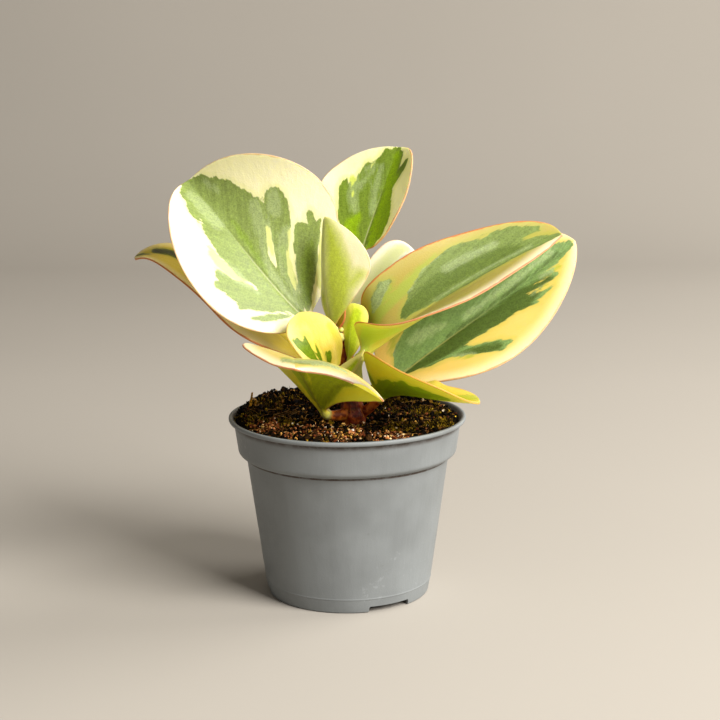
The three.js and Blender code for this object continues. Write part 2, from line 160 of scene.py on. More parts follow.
LEAVES["far_left"] = dict(
    PLAIN,
    rib=[(-11, -0.5, 87.5), (-32.5, 10.5, 100), (-62.5, 13, 136.5), (-80.5, 14, 126.5)],
    face=[(0.51, -0.4, 0.76), (0.12, -0.2, 0.97)], half=(21.5, 15.5),
    outline=[(0.43, 1.1, 0.57), (0.49, 0.7, 0.48)], fold=[(3, 13), (6, 3)],
    curl=[(-4, 3), (-9, 2)], stalk=[(0.3, -1.3, 84.5), (-4, -1, 85.3)], stalk_radius=1.8,
    rake=2.5,
    hues=[(206, 178, 36), (150, 148, 40), (100, 104, 42), (58, 56, 22)],
    # Its lower tint above 1 is painted light that brightens its lower face, which lies in shade.
    lower=(1.9, 2.1, 0.2), blush=0.9, softness=0.5, flush=0.4,
    green=[
        [(4, 24, 2), (5, 40, 5), (4, 55, 4.5), (2.8, 66, 2.6), (2.5, 73, 2.4)],
        [(-1.5, 76, 0.6), (0, 80, 1), (1.3, 83.5, 0.5)],
    ],
    deep=[[(3, 60, 2), (2.5, 73, 1.5)]],
)
LEAVES["top"] = dict(
    PLAIN,
    rib=[(6, 5, 130), (9, 5, 140.5), (15.5, 9, 155.5), (19.5, 15, 168)],
    face=[(-0.17, -0.9, 0.41), (-0.33, -0.85, 0.42)], half=(24.5, 14),
    outline=[(0.52, 0.7, 0.42), (0.63, 0.7, 0.3)], fold=[(11, -7), (33, 34)],
    curl=[(-3, -4), (6, 7)], stalk=[(-0.3, 0.4, 114), (2, 5, 120)], stalk_radius=1.6,
    rake=2.2, pale_rim_and_sheen=(0.4, 0.4),
    hues=[(253, 246, 196), (200, 210, 98), (114, 136, 42), (138, 170, 4)],
    lower=(0.92, 0.95, 0.62), blush=0.7, softness=0.25, flush=0.2,
    green=[
        [(0, 2, 2), (0, 20, 2.6), (0, 40, 1.6)],
        [(-3, 4, 3), (-4.5, 14, 5), (-4, 26, 4.5), (-3.5, 34, 3.4), (-3, 39.5, 1.4)],
        [(-6, 14, 4), (-8.5, 22, 2.8), (-9.3, 28, 2.3), (-9, 33, 1.4)],
        [(-6, 6, 4), (-9, 12, 4), (-12, 17, 3), (-14.2, 22, 2.4), (-15.6, 25, 1)],
        [(2.5, 3, 1.8), (4, 9, 3.4), (5, 14, 3.6), (4.6, 19, 3), (2.6, 26, 1.8), (2.6, 32, 2.8),
         (2, 38, 2.8), (1.5, 41, 1.2)],
        [(3, 29, 2), (6.5, 34, 1.5), (8, 36.2, 0.8)],
    ],
    cut=[
        [(-9.4, 18.5, 0.3), (-11.2, 22, 0.6), (-12.8, 26.5, 1)],
        [(-7, 31, 0.2), (-7.2, 35, 0.6)],
    ],
    deep=[
        [(2.5, 3, 1.5), (4.5, 10, 4), (4.8, 17, 4), (3.2, 26, 3), (2, 38, 2)],
        [(-4, 4, 2), (-7, 9, 3), (-5, 14, 1)],
    ],
    wash=[
        [(-8, 15.5, 1.6), (-10.5, 20, 2), (-12.4, 26, 2)],
        [(-6.6, 27, 1), (-6.8, 33, 1.4)],
        [(-1, 16, 0.8), (-2.5, 24, 1.6), (-4, 33, 1.4)],
        [(-9, 24, 1), (-9, 32, 1)],
    ],
)
LEAVES["centre_upright"] = dict(
    PLAIN,
    rib=[(-4.5, -8, 102.5), (-7.5, -12, 116), (-8.5, -12, 131), (-7.3, -8.5, 144.5)],
    face=[(0.77, 0.63, 0), (0.71, 0.71, 0)], half=(17, 10),
    outline=[(0.6, 1.3, 0.75), (0.5, 0.9, 0.75)], fold=[(43, 37), (8, 88)],
    curl=[(9, 1), (0, 0)], stalk=[(-1.2, -1, 99), (-2.8, -6.8, 98)], stalk_radius=1.4,
    rake=2.2,
    hues=[(238, 230, 200), (214, 216, 126), (172, 186, 46), (146, 164, 16)],
    lower=(0.92, 0.9, 1), blush=0.4, softness=3, flush=0.2,
    green=[
        [(-1, 2, 2), (-3.5, 8, 3.8), (-5, 18, 5), (-4.6, 27, 4.2), (-3, 35, 2.8), (-1, 40.5, 1)],
        [(2, 6, 2), (3, 12, 2.5)],
        [(-8, 16, 1.6), (-12.8, 21, 1.6)],
    ],
    deep=[[(0, 4, 0.5), (0, 20, 0.6), (0, 38, 0.4)]],
)
LEAVES["back_pale"] = dict(
    PLAIN,
    rib=[(1.5, 5, 104.5), (8, 10, 112.5), (23.5, 15, 132), (26.5, 22, 127)],
    face=[(-0.35, -0.77, 0.53), (-0.15, -0.75, 0.65)], half=(9.5, 10),
    outline=[(0.69, 0.66, 0.62), (0.6, 0.7, 0.6)], fold=[(6, 7), (15, 10)],
    curl=[(-4, 2), (0, 0)], stalk=[(-1.1, -0.5, 106), (-0.4, 4, 103)], stalk_radius=1.2,
    rake=3,
    hues=[(202, 198, 180), (180, 182, 134), (172, 180, 122), (158, 166, 104)],
    lower=(1, 1, 0.6), blush=0.5, softness=2.0, flush=0.2,
    wash=[[(-3.5, 8, 3), (-3, 33, 3)]],
)
LEAVES["small_round"] = dict(
    PLAIN,
    rib=[(-7, -7, 88), (-7, -16, 92), (-12.5, -21, 105), (-17.5, -13, 109.5)],
    face=[(-0.15, -0.81, 0.57), (-0.07, -0.77, 0.63)], half=(9.5, 9),
    outline=[(0.73, 0.66, 0.56), (0.55, 0.62, 0.62)], fold=[(17, 14), (8, 3)],
    curl=[(14, 6), (1, 0)], stalk=[(0.7, -1.6, 80), (-3.5, -5.5, 81.3)], stalk_radius=1.3,
    rake=2.6, pale_rim_and_sheen=(0.3, 0.15), crease=6, groove=0.25,
    hues=[(238, 210, 102), (212, 194, 24), (108, 132, 10), (88, 114, 8)],
    lower=(0.95, 0.95, 0.6), blush=0.35, softness=0.2, flush=0.2,
    green=[
        [(-3.7, 9, 0.8), (-4.4, 12.5, 1.4), (-5.2, 16.5, 2.2), (-6.6, 18.6, 1.6), (-8.2, 21.2, 0.35)],
        [(-6.1, 18.3, 1.3), (-6.4, 21.9, 0.35)],
        [(-4.6, 16.8, 1.5), (-3.4, 20.3, 0.4)],
        [(-3.2, 3, 1), (-3.7, 9, 1)],
        [(-2, 4, 0.8), (-1.9, 10, 0.8), (-1.5, 13, 0.6), (-1.2, 15.8, 0.2)],
        [(0.6, 4.5, 0.8), (1.3, 7.4, 1.15), (1.7, 9.6, 1), (1.4, 10.8, 0.3)],
        [(2.1, 9, 0.8), (2.6, 10.9, 0.25)],
    ],
    cut=[
        [(-5.3, 19.2, 0.1), (-5, 21, 0.4)],
        [(-2.7, 10.5, 0.1), (-2.4, 14, 0.35), (-2.3, 17, 0.6)],
    ],
    wash=[[(5.5, 3, 2), (7.4, 11, 1.8), (6.8, 19, 1)]],
)
LEAVES["right_upper"] = dict(
    PLAIN,
    rib=[(5.5, -11.5, 93), (24, -13.5, 106), (43, -10, 122), (80, -4.5, 136.5)],
    face=[(0.79, 0.08, 0.61), (-0.25, -0.5, 0.83)], half=(22, 19),
    outline=[(0.34, 0.35, 0.37), (0.36, 0.41, 0.85)], fold=[(58, 14), (62, 10)],
    curl=[(29, 15), (-8, -11)], stalk=[(1, -1.7, 77.5), (6.6, -8.6, 80)], stalk_radius=2.1,
    rake=5, pale_rim_and_sheen=(0.1, 1),
    hues=[(174, 158, 78), (160, 170, 72), (118, 135, 70), (94, 112, 46)],
    # Its lower tint above 1 is painted light that brightens its lower face, which lies in shade.
    lower=(1.9, 2.05, 1.5), blush=0.85, softness=0.3, flush=0.15,
    green=[
        [(-3.5, 26, 1.4), (-4.5, 30, 2.6), (-6, 36, 4.8), (-6.9, 44, 7.1), (-7.1, 55, 8.6), (-6.9, 63, 8),
         (-6.2, 72.5, 6.9), (-5.8, 78, 4.4), (-7.2, 81.4, 1.4)],
        [(-12.6, 16, 0.8), (-15, 20, 2.2), (-17.6, 26, 2), (-17.4, 30, 0.8)],
        [(-2.4, 73, 3), (-1.7, 80, 2.4), (-0.9, 85.8, 0.9)],
    ],
    cut=[
        [(-5.9, 75.5, 0.1), (-5.3, 79.5, 0.7), (-4.5, 83.5, 1.2), (-3.6, 87, 1.6)],
        [(-14.8, 61, 0.5), (-13.8, 68, 0.7)],
    ],
    deep=[[(-4, 24, 1.5), (-5, 34, 3), (-6, 48, 4), (-5, 62, 4), (-3, 74, 1.6)]],
    wash=[
        [(-12, 13, 1.4), (-14.4, 20, 3), (-17, 27, 2.8)],
        [(-7, 8, 1.6), (-9.6, 16, 1.4), (-11, 26, 1.6), (-12, 34, 2), (-14.6, 43, 1.4), (-16, 50, 0.8)],
        [(3, 4, 2), (8, 12, 4), (9, 20, 3)],
        # These two strokes, beside and on the midrib, are partly pale grey-green and partly painted sheen.
        [(-9.5, 50, 1.5), (-9, 68, 1.5)],
        [(-1.4, 40, 0.2), (-1.4, 60, 0.55), (-1.1, 78, 0.25)],
    ],
)
LEAVES["right_lower"] = dict(
    PLAIN,
    rib=[(15.5, 1.2, 78.4), (33, 3.2, 94.4), (61.5, 7.7, 109.5), (87.5, 16, 132)],
    face=[(-0.2, -0.78, 0.6), (-0.23, -0.88, 0.43)], half=(24.5, 23),
    outline=[(0.53, 0.35, 0.5), (0.51, 1.14, 0.7)], fold=[(21, 12), (18, 3)],
    curl=[(1, 2), (-1, -1)], stalk=[(1.4, -2, 75), (7.6, 2.2, 75.6)], stalk_radius=1.9,
    rake=2.6, pale_rim_and_sheen=(0.55, 0.8),
    hues=[(220, 187, 104), (172, 172, 66), (116, 142, 82), (64, 80, 20)],
    lower=(0.92, 0.95, 0.62), blush=0.6, softness=0.3, flush=0.3,
    green=[
        [(-2.5, 9, 2), (-5, 16, 5.6), (-6.5, 24, 7.2), (-6.5, 34, 8), (-6, 49, 8), (-5, 64, 7.5),
         (-3, 79, 5), (-1, 89, 1)],
        [(0.5, 10, 1), (0.8, 16, 2), (2, 22, 3.4), (2.8, 29, 4), (2.6, 39, 3.6), (3, 46, 4.1),
         (3.4, 55, 4.4), (3.4, 64, 4.2), (2.6, 72, 3.2), (0.8, 80, 1.8), (0, 89, 0.8)],
        [(3.4, 68, 3), (4.2, 75, 2), (5, 78.4, 0.9)],
        [(6.6, 62, 1.8), (8, 70, 1.2), (8.4, 75.6, 0.4)],
        [(7, 64, 1.4), (9.6, 67.4, 0.5)],
        [(5, 28, 1.6), (8, 34, 2.2), (10.5, 38.5, 1.8), (13, 42.5, 2.2), (15.5, 47, 2.6), (16.8, 51.5, 1)],
    ],
    cut=[
        [(1.4, 75.5, 0.1), (2.5, 80, 0.5), (3.6, 84, 1)],
        [(4.6, 66.5, 0.1), (5.8, 72, 0.45), (7, 77, 0.8)],
        [(3, 70, 0.05), (3.6, 74, 0.2), (4.2, 77.5, 0.1)],
    ],
    deep=[
        [(0.6, 9, 0.8), (2, 16, 1.8), (3, 26, 3), (3, 38, 3.4), (4, 52, 4), (4.6, 64, 4.4), (4.4, 75, 2)],
        [(-0.8, 34, 0.8), (-0.8, 84, 0.6)],
        [(8, 32, 1), (11, 38, 1.6), (15.5, 46, 2.2)],
    ],
    wash=[
        [(-3.2, 44, 1.2), (-3.5, 64, 1.2), (-3, 82, 1)],
        [(-8, 21, 1.6), (-7, 30, 2.4), (-5, 36, 1)],
        [(8, 31, 1.2), (12, 37, 1)],
        [(-9, 11, 1.4), (-12.5, 16, 1.6), (-15.5, 24, 1.2)],
        [(2.4, 74, 0.6), (3.6, 81, 0.8)],
        [(5.4, 68, 0.5), (6.6, 74, 0.6)],
    ],
)
LEAVES["front_left"] = dict(
    PLAIN,
    rib=[(-8, -9.5, 71), (-16.5, -18, 87.5), (-20.5, -35, 103.5), (-18, -48.5, 95.5)],
    face=[(0.26, 0.61, 0.75), (0.22, -0.21, 0.95)], half=(36.5, 23.5),
    outline=[(0.61, 1.22, 0.81), (0.42, 0.58, 0.81)], fold=[(16, 25), (51, -4)],
    curl=[(-51, -64), (-13, -37)], stalk=[(1.8, -2.4, 70), (-3, -7.5, 69.5)], stalk_radius=2.0,
    rake=1.6, pale_rim_and_sheen=(1, 1),
    hues=[(186, 164, 92), (148, 148, 70), (122, 126, 56), (84, 84, 10)],
    # Its lower tint above 1 is painted light that brightens its lower face, which lies in shade.
    lower=(2.2, 2.35, 0.4), blush=0.85, softness=0.7, flush=0.8,
    green=[
        [(-1, 4, 1.5), (-5, 11, 4.5), (-9, 19, 6.5), (-10, 28, 8.5), (-9, 34, 7)],
        [(1, 8, 1.5), (2, 20, 4), (2.5, 34, 4), (1, 39, 2.4)],
        [(3, 47, 1.4), (-2, 47.2, 2), (-6.4, 45.8, 2.3), (-11, 44.4, 1.8), (-14.4, 43.6, 1.4),
         (-18.6, 42.4, 0.8)],
        [(-14, 20, 3), (-21, 24, 2), (-24, 34, 1.2)],
    ],
    cut=[[(-18, 32, 0.3), (-20.5, 36, 0.6)]],
    deep=[
        [(3, 47, 1.2), (-2, 47.2, 1.8), (-6.4, 45.8, 2.1), (-11, 44.4, 1.6), (-14.4, 43.6, 1.2),
         (-18.6, 42.4, 0.6)],
        [(0, 2, 0.7), (0.3, 12, 0.9), (0.3, 24, 1)],
        [(-4, 6, 0.5), (-12, 15.5, 1.1), (-20, 22.5, 1.2)],
    ],
    wash=[[(3, 46.4, 2.4), (-8, 44.6, 3), (-18, 42, 2)]],
)
LEAVES["front_right"] = dict(
    PLAIN,
    rib=[(12.5, -4.5, 75.5), (21.5, -18, 83), (24, -28.5, 80.5), (48, -29, 79)],
    face=[(-0.1, 0.36, 0.93), (-0.12, 0.09, 0.99)], half=(12.5, 23.5),
    outline=[(0.46, 0.7, 0.3), (0.4, 0.7, 0.6)], fold=[(25, 25), (60, 20)],
    curl=[(-14, 9), (16, -17)], stalk=[(2, -2.4, 68.8), (7.5, -5, 69.5)], stalk_radius=1.8,
    rake=2.4, pale_rim_and_sheen=(0.1, 0.1),
    hues=[(190, 168, 46), (150, 152, 28), (100, 116, 3), (78, 96, 2)],
    # Its lower tint above 1 is painted light that brightens its lower face, which lies in shade.
    lower=(1.9, 2.1, 2), blush=0.6, softness=0.4, flush=0.9,
    green=[
        [(3, 3, 2.4), (4, 12, 5), (4.5, 22, 5.6), (5.5, 30, 5.4), (4.4, 37, 2.6)],
        [(8, 5, 1.6), (12.3, 5.8, 0.7)],
        [(7, 15, 2.4), (9.4, 19, 1)],
        [(8, 24, 2.4), (12.5, 26.3, 0.8)],
        [(9, 29, 1.6), (11, 31, 0.7)],
        [(-1, 6, 1.5), (-3, 20, 3), (-2.5, 34, 2)],
    ],
    cut=[[(7, 19, 0.2), (10, 20.5, 0.7)]],
    deep=[[(2, 6, 0.8), (4, 16, 2.4), (6, 26, 3.4), (4.6, 33, 1)]],
    wash=[[(-2, 36, 2), (-3, 46, 2)]],
)
LEAVES["young_upright"] = dict(
    PLAIN,
    rib=[(1, -4.9, 90.5), (1.2, -6.2, 97), (1.8, -6, 105), (3.2, -4, 111.5)],
    face=[(0.55, 0.83, 0.1), (0.3, 0.93, 0.2)], half=(6, 4.4),
    outline=[(0.75, 0.8, 0.3), (0.82, 0.7, 0.35)], fold=[(35, 25), (30, 14)],
    curl=[(5, 0), (0, 0)], stalk=[(0, -1.2, 86.5), (0.4, -4.8, 87)], stalk_radius=1.1,
    rake=3,
    hues=[(226, 230, 120), (206, 218, 66), (172, 194, 34), (126, 148, 20)],
    lower=(1.02, 0.96, 0.72), blush=0.4, softness=1.0, flush=0.3,
    green=[[(0, 1, 2), (-0.5, 12, 2.6), (-1.4, 18, 1.6)]],
    deep=[[(-0.2, 2, 0.3), (-1.5, 12, 0.3), (-2.8, 18.5, 0.3)]],
)
LEAVES["young_olive"] = dict(
    PLAIN,
    rib=[(-2.4, -4.8, 102.5), (-3.2, -5.6, 105), (-2.6, -5.2, 110), (-1.6, -4.2, 115)],
    face=[(0.6, 0.8, 0), (0.5, 0.86, 0.1)], half=(2.6, 1.4),
    outline=[(0.45, 0.8, 0.7), (0.45, 0.8, 0.7)], fold=[(35, 30), (45, 40)],
    stalk=[(-1.3, -1, 101.5), (-1.4, -4.6, 101)], stalk_radius=0.8,
    rake=3,
    hues=[(176, 156, 40), (142, 138, 26), (116, 114, 16), (120, 52, 10)],
    lower=(1, 1, 0.5), blush=0.9, softness=1.0, flush=0.5,
    green=[[(0, 0, 3), (0, 10, 3)]],
    deep=[[(0, 2, 2), (0, 9, 1.6)]],
)
LEAVES["small_inner"] = dict(
    PLAIN,
    rib=[(-5, -12.8, 84.5), (-3, -14.3, 86.5), (1.5, -15.2, 89.5), (6.4, -16.2, 96.3)],
    face=[(-0.2, -0.82, 0.53), (-0.3, -0.8, 0.5)], half=(2.6, 3.6),
    outline=[(0.4, 0.6, 0.9), (0.45, 0.6, 0.9)], fold=[(10, 5), (15, 10)],
    stalk=[(1, -1.8, 76), (-3.4, -8.5, 78)], stalk_radius=0.9,
    rake=3,
    hues=[(212, 206, 46), (196, 198, 28), (172, 190, 10), (150, 174, 8)],
    lower=(1, 1, 0.5), blush=0.1, softness=1.0, flush=0.3,
    green=[[(1.2, 2, 1), (1.9, 7, 1.4), (0.9, 13, 0.8)]],
)

# The stem: points up its axis, each with its radius, and the heights of the swellings that carry stalks.
STEM = [
    ((2.0, -2.0, 50), 4.6), ((2.0, -2.2, 60), 5.0), ((2.0, -2.4, 68), 4.9), ((1.4, -2.0, 75), 3.9),
    ((0.2, -1.2, 84), 3.3), ((-0.9, -1.0, 93), 3.0), ((-1.4, -1.0, 103), 2.7), ((-0.7, 0.0, 112), 2.3),
    ((0.6, 1.6, 119), 1.9),
]
SWELLINGS = (69, 76, 84, 92, 99, 106, 113)
YOUNG = ("centre_upright", "young_upright", "young_olive", "small_inner")


class PlantSettings(bpy.types.PropertyGroup):
    tint: color_property("Tint", "Overall tint of every blade", (1, 1, 1))
    # Green under a colourless skin, used partly for the blade's own pale grey-green zones and partly as
    # painted sheen on the green.
    milky_and_sheen: color_property("Milky green", "Green under a colourless skin", linear(184, 196, 150))
    underside: color_property("Underside", "Tint of the blades' lower faces", (1, 1, 1))
    blush: color_property("Margin", "Red line along the margins", linear(186, 104, 62))
    stalk: color_property("Stalk", "Upper end of the stalks", linear(220, 224, 132))
    bark: color_property("Stem", "Skin of the stem and the stalks' feet", linear(108, 18, 2))
    thickness: mm_property("Blade thickness", "Thickness of a blade over its midrib", 1.35)


class PotSettings(bpy.types.PropertyGroup):
    plastic: color_property("Plastic", "Colour of the pot", linear(120, 124, 125))
    wall: mm_property("Wall", "Thickness of the pot's wall", 0.7)
    notch: mm_property("Drain notch", "Height of the notches in the foot", 2.2)


class MixSettings(bpy.types.PropertyGroup):
    peat: color_property("Peat", "Colour of the finest crumbs", linear(28, 17, 7))
    moss: color_property("Moss", "Colour of the moss", linear(104, 82, 12))
    crumbs: count_property("Crumbs", "Number of peat crumbs", 3400)
    tufts: count_property("Moss tufts", "Number of moss tufts", 1050)
    seed: IntProperty(name="Seed", description="Seed of every random draw", default=7)


class StageSettings(bpy.types.PropertyGroup):
    floor: color_property("Floor", "Colour of the floor and its sweep", linear(168, 162, 153))
    key: power_property("Key light", "Power of the softbox at the front right", 51)
    back: power_property("Back light", "Power of the softbox behind", 16)
    air: FloatProperty(name="Air", description="Strength of the light from all around", default=0.22)


class PeperomiaSettings(bpy.types.PropertyGroup):
    plant: PointerProperty(type=PlantSettings)
    pot: PointerProperty(type=PotSettings)
    mix: PointerProperty(type=MixSettings)
    stage: PointerProperty(type=StageSettings)


# Shader nodes

def set_inputs(node, inputs):
    """Gives a node its inputs, which are values or other nodes' outputs."""
    for key, value in inputs.items():
        if isinstance(value, bpy.types.NodeSocket):
            node.id_data.links.new(value, node.inputs[key])
        else:
            node.inputs[key].default_value = value


def add_node(tree, kind, inputs=None, **settings):
    node = tree.nodes.new("ShaderNode" + kind)
    for key, value in settings.items():
        setattr(node, key, value)
    set_inputs(node, inputs or {})
    return node


def tree_of(*values):
    """The node tree of the first value that is a node's output."""
    return next(v.id_data for v in values if isinstance(v, bpy.types.NodeSocket))


def calculate(operation, *values):
    return add_node(tree_of(*values), "Math", dict(enumerate(values)), operation=operation).outputs[0]


def times(a, b):
    return calculate("MULTIPLY", a, b)


def plus(a, b):
    return calculate("ADD", a, b)


def ramp(value, low, high, start=0.0, end=1.0):
    """A soft step from start, where value is low, to end, where it is high."""
    inputs = {"Value": value, "From Min": low, "From Max": high, "To Min": start, "To Max": end}
    return add_node(tree_of(value), "MapRange", inputs, interpolation_type="SMOOTHSTEP").outputs["Result"]


def band(value, low, high, soft):
    """1 where a value in metres lies between low and high, in millimetres, with soft ends."""
    rising = ramp(value, (low - soft) * MM, low * MM)
    return times(rising, ramp(value, high * MM, (high + soft) * MM, 1, 0))


def rgba(color):
    """Three numbers as a node's colour. A node's output stays as it is."""
    return color if isinstance(color, bpy.types.NodeSocket) else (*color, 1.0)


def blend(factor, a, b, mode="MIX"):
    inputs = {0: factor, 6: rgba(a), 7: rgba(b)}
    return add_node(tree_of(factor, a, b), "Mix", inputs, data_type="RGBA", blend_type=mode).outputs[2]


def shaded(color, value):
    """A colour times a grey value."""
    grey = add_node(tree_of(value), "CombineColor", {0: value, 1: value, 2: value}).outputs[0]
    return blend(1.0, color, grey, "MULTIPLY")


def mottle(vector, scale, detail=2.0, roughness=0.5):
    inputs = {"Vector": vector, "Scale": scale, "Detail": detail, "Roughness": roughness}
    return add_node(tree_of(vector), "TexNoise", inputs).outputs["Fac"]


def on_vectors(operation, a, b=(0, 0, 0)):
    return add_node(tree_of(a), "VectorMath", {0: a, 1: b}, operation=operation).outputs


def stretch(vector, factors):
    return on_vectors("MULTIPLY", vector, factors)[0]


def parts_of(vector):
    return add_node(tree_of(vector), "SeparateXYZ", {0: vector}).outputs


def attribute(tree, name, output="Vector"):
    return add_node(tree, "Attribute", attribute_name=name).outputs[output]


def object_place(tree):
    return add_node(tree, "TexCoord").outputs["Object"]


def new_group(name, inputs):
    """A new node group and its inputs: numbers with these defaults, or vectors where there is None."""
    tree = bpy.data.node_groups.new(name, "ShaderNodeTree")
    for socket, default in inputs.items():
        kind = "Vector" if default is None else "Float"
        made = tree.interface.new_socket(socket, in_out="INPUT", socket_type="NodeSocket" + kind)
        if default is not None:
            made.default_value = default
    return tree, tree.nodes.new("NodeGroupInput").outputs


def close_group(tree, results):
    """Gives a node group its outputs, which are masks or values."""
    for socket in results:
        tree.interface.new_socket(socket, in_out="OUTPUT", socket_type="NodeSocketFloat")
    set_inputs(tree.nodes.new("NodeGroupOutput"), results)
    return tree


def use_group(tree, name, build, inputs):
    """The outputs of a node group, which is built the first time that it is asked for."""
    group = bpy.data.node_groups.get(name) or build(name)
    return add_node(tree, "Group", inputs, node_tree=group).outputs


def marking_group(name):
    """Where a blade is green, deep green or washed, from its brush strokes, feathered along its veins."""
    inputs = {"Marks": None, "Veins": None, "Wobble": 2.2, "Feather": 1.9, "Edge": 0.28}
    tree, given = new_group(name, inputs)
    lengthwise = stretch(given["Veins"], (1, 0.2, 0))
    broad = calculate("SUBTRACT", mottle(lengthwise, 0.26), 0.5)
    fine = calculate("SUBTRACT", mottle(lengthwise, 1.1, 3), 0.5)
    shift = plus(times(broad, given["Wobble"]), times(fine, given["Feather"]))
    wide_shift = times(shift, 1.7)
    marks = parts_of(given["Marks"])
    green = plus(marks[0], shift)
    return close_group(tree, {
        "Green": ramp(green, times(given["Edge"], -1), given["Edge"]),
        "Deep": ramp(plus(marks[1], wide_shift), -1.1, 1.3),
        "Wash": ramp(plus(marks[2], wide_shift), -1.1, 1.1),
        "Halo": ramp(green, -2.6, -0.1),
        "Streak": mottle(stretch(given["Veins"], (1, 0.05, 0)), 0.9, 3),
    })


def flesh_group(name):
    """Fine cells of a fleshy skin: a speckle of tone and the height of its relief."""
    tree, given = new_group(name, {"Scale": 2000.0})
    place = object_place(tree)
    inputs = {"Vector": place, "Scale": given["Scale"]}
    cells = add_node(tree, "TexVoronoi", inputs, feature="SMOOTH_F1").outputs["Distance"]
    cloud = mottle(place, times(given["Scale"], 0.35), 4, 0.6)
    speckle = plus(times(cells, 0.5), times(cloud, 0.6))
    return close_group(tree, {"Speckle": speckle, "Height": plus(cells, cloud)})


def dust_group(name):
    """Specks and smears of dust: a mask that covers the given share of a surface."""
    tree, given = new_group(name, {"Scale": 900.0, "Share": 0.3})
    place = object_place(tree)
    specks = mottle(place, given["Scale"], 3, 0.7)
    patches = mottle(place, times(given["Scale"], 0.07), 3)
    low = calculate("SUBTRACT", 0.42, times(given["Share"], 0.25))
    return close_group(tree, {"Mask": ramp(times(specks, patches), low, plus(low, 0.06))})


def new_material(name, shader):
    """A material with one Principled BSDF, whose plain values are set on its own sockets."""
    material = bpy.data.materials.new(name)
    material.use_nodes = True
    tree = material.node_tree
    tree.nodes.clear()
    bsdf = add_node(tree, "BsdfPrincipled", shader)
    add_node(tree, "OutputMaterial", {"Surface": bsdf.outputs[0]})
    return material, tree, bsdf


def finish_material(bsdf, color, roughness, *reliefs):
    """Joins a colour, a roughness and reliefs, each a height and its depth in metres, to the material."""
    normal = {}
    for height, depth in reliefs:
        inputs = {"Strength": 1.0, "Distance": depth, "Height": height, **normal}
        normal = {"Normal": add_node(bsdf.id_data, "Bump", inputs).outputs["Normal"]}
    set_inputs(bsdf, {"Base Color": color, "Roughness": roughness, **normal})


def tint(color, factor):
    return tuple(min(1.0, c * factor) for c in color)


def between(a, b, share):
    return tuple(x + (y - x) * share for x, y in zip(a, b))


FULL_BREADTH = 40  # of a blade whose markings wander and feather in full, in millimetres


def leaf_material(name, leaf, plant):
    """A fleshy blade: pale with green strokes, a red margin, a pale midrib, and the stalk's own colour.
    Its pale border and some wash strokes are partly painted sheen; some lower faces carry painted light.
    """
    pale, wash, green, deep = (
        tuple(a * b for a, b in zip(linear(*hue), plant.tint)) for hue in leaf["hues"]
    )
    material, tree, bsdf = new_material(name, {
        "Subsurface Weight": 0.6, "Subsurface Scale": 0.002, "Subsurface Radius": (1.0, 1.0, 0.35),
        "IOR": 1.45, "Specular IOR Level": 0.3, "Coat Weight": 0.0,
    })
    veins = attribute(tree, "veins")
    under = parts_of(veins)[2]
    margin, rib, along = parts_of(attribute(tree, "place"))
    size = min(1.0, sum(leaf["half"]) / FULL_BREADTH)
    masks = use_group(tree, "leaf_markings", marking_group, {
        "Marks": attribute(tree, "marks"), "Veins": veins,
        "Wobble": 2.2 * size, "Feather": 1.9 * size, "Edge": leaf["softness"],
    })
    flesh = use_group(tree, "fleshy_skin", flesh_group, {"Scale": 2000.0})
    place = object_place(tree)
    cloud = mottle(place, 70, 2)

    base = blend(ramp(cloud, 0.35, 0.65), pale, between(pale, wash, 0.12))
    washed = calculate("MAXIMUM", masks["Wash"], times(masks["Halo"], 0.45))
    base = blend(washed, base, wash)
    # A paler border along each margin, weaker on the lower face: partly the blade's own cream, partly
    # painted sheen.
    pale_rim_and_sheen = times(ramp(margin, 0.3, 6.5, 1, 0), ramp(along, 0.05, 0.3))
    pale_rim_and_sheen = times(pale_rim_and_sheen, ramp(rib, -0.5, 0.5, *leaf["pale_rim_and_sheen"]))
    pale_rim_and_sheen = times(pale_rim_and_sheen, ramp(under, 0, 1, 1, 0.3))
    base = blend(pale_rim_and_sheen, base, between(pale, linear(250, 236, 205), 0.7))
    fresh = blend(ramp(masks["Streak"], 0.3, 0.7), tint(green, 0.9), tint(green, 1.1))
    fresh = blend(times(masks["Deep"], 0.85), fresh, deep)
    # Wash strokes turn the green pale grey-green: partly the blade's own colour, partly painted sheen.
    fresh = blend(times(masks["Wash"], 0.36), fresh, plant.milky_and_sheen)
    color = blend(masks["Green"], base, shaded(fresh, ramp(flesh["Speckle"], 0.25, 0.75, 0.8, 1.2)))
    # The lower face: a yellower blend of the upper colours times the leaf's lower tint, which above 1 is
    # painted light on a lower face in shade.
    below = blend(0.3, color, between(green, wash, 0.4))
    below = blend(1.0, below, [a * b for a, b in zip(leaf["lower"], plant.underside)], "MULTIPLY")
    color = blend(under, color, below)

    rib_mask = times(ramp(calculate("ABSOLUTE", rib), 0.12, 0.42, 1, 0), ramp(along, 0.15, 0.75, 0.5, 0))
    color = blend(rib_mask, color, between(green, pale, 0.55))
    edge_width = ramp(mottle(place, 200, 2), 0.3, 0.7, 0.35, 0.8)
    edge_mask = ramp(calculate("DIVIDE", margin, edge_width), 0.5, 1.25, leaf["blush"], 0)
    edge_mask = times(edge_mask, ramp(along, 0.0, 0.06))
    color = blend(edge_mask, color, plant.blush)
    foot = blend(ramp(mottle(place, 420, 4, 0.65), 0.42, 0.6), plant.bark, linear(190, 98, 26))
    stalk = blend(ramp(along, leaf["flush"] - 1.15, leaf["flush"] - 0.75), foot, plant.stalk)
    greener = between(plant.stalk, linear(140, 172, 36), 0.8)
    stalk = blend(times(ramp(masks["Streak"], 0.45, 0.75), 0.5), stalk, greener)
    color = blend(ramp(along, -0.12, 0.1), stalk, color)
    roughness = ramp(flesh["Speckle"], 0.2, 0.8, 0.36, 0.5)
    waves = mottle(stretch(veins, (1, 0.25, 0)), 0.35, 2)
    finish_material(bsdf, color, roughness, (waves, 0.00016), (flesh["Height"], 0.00005))
    return material


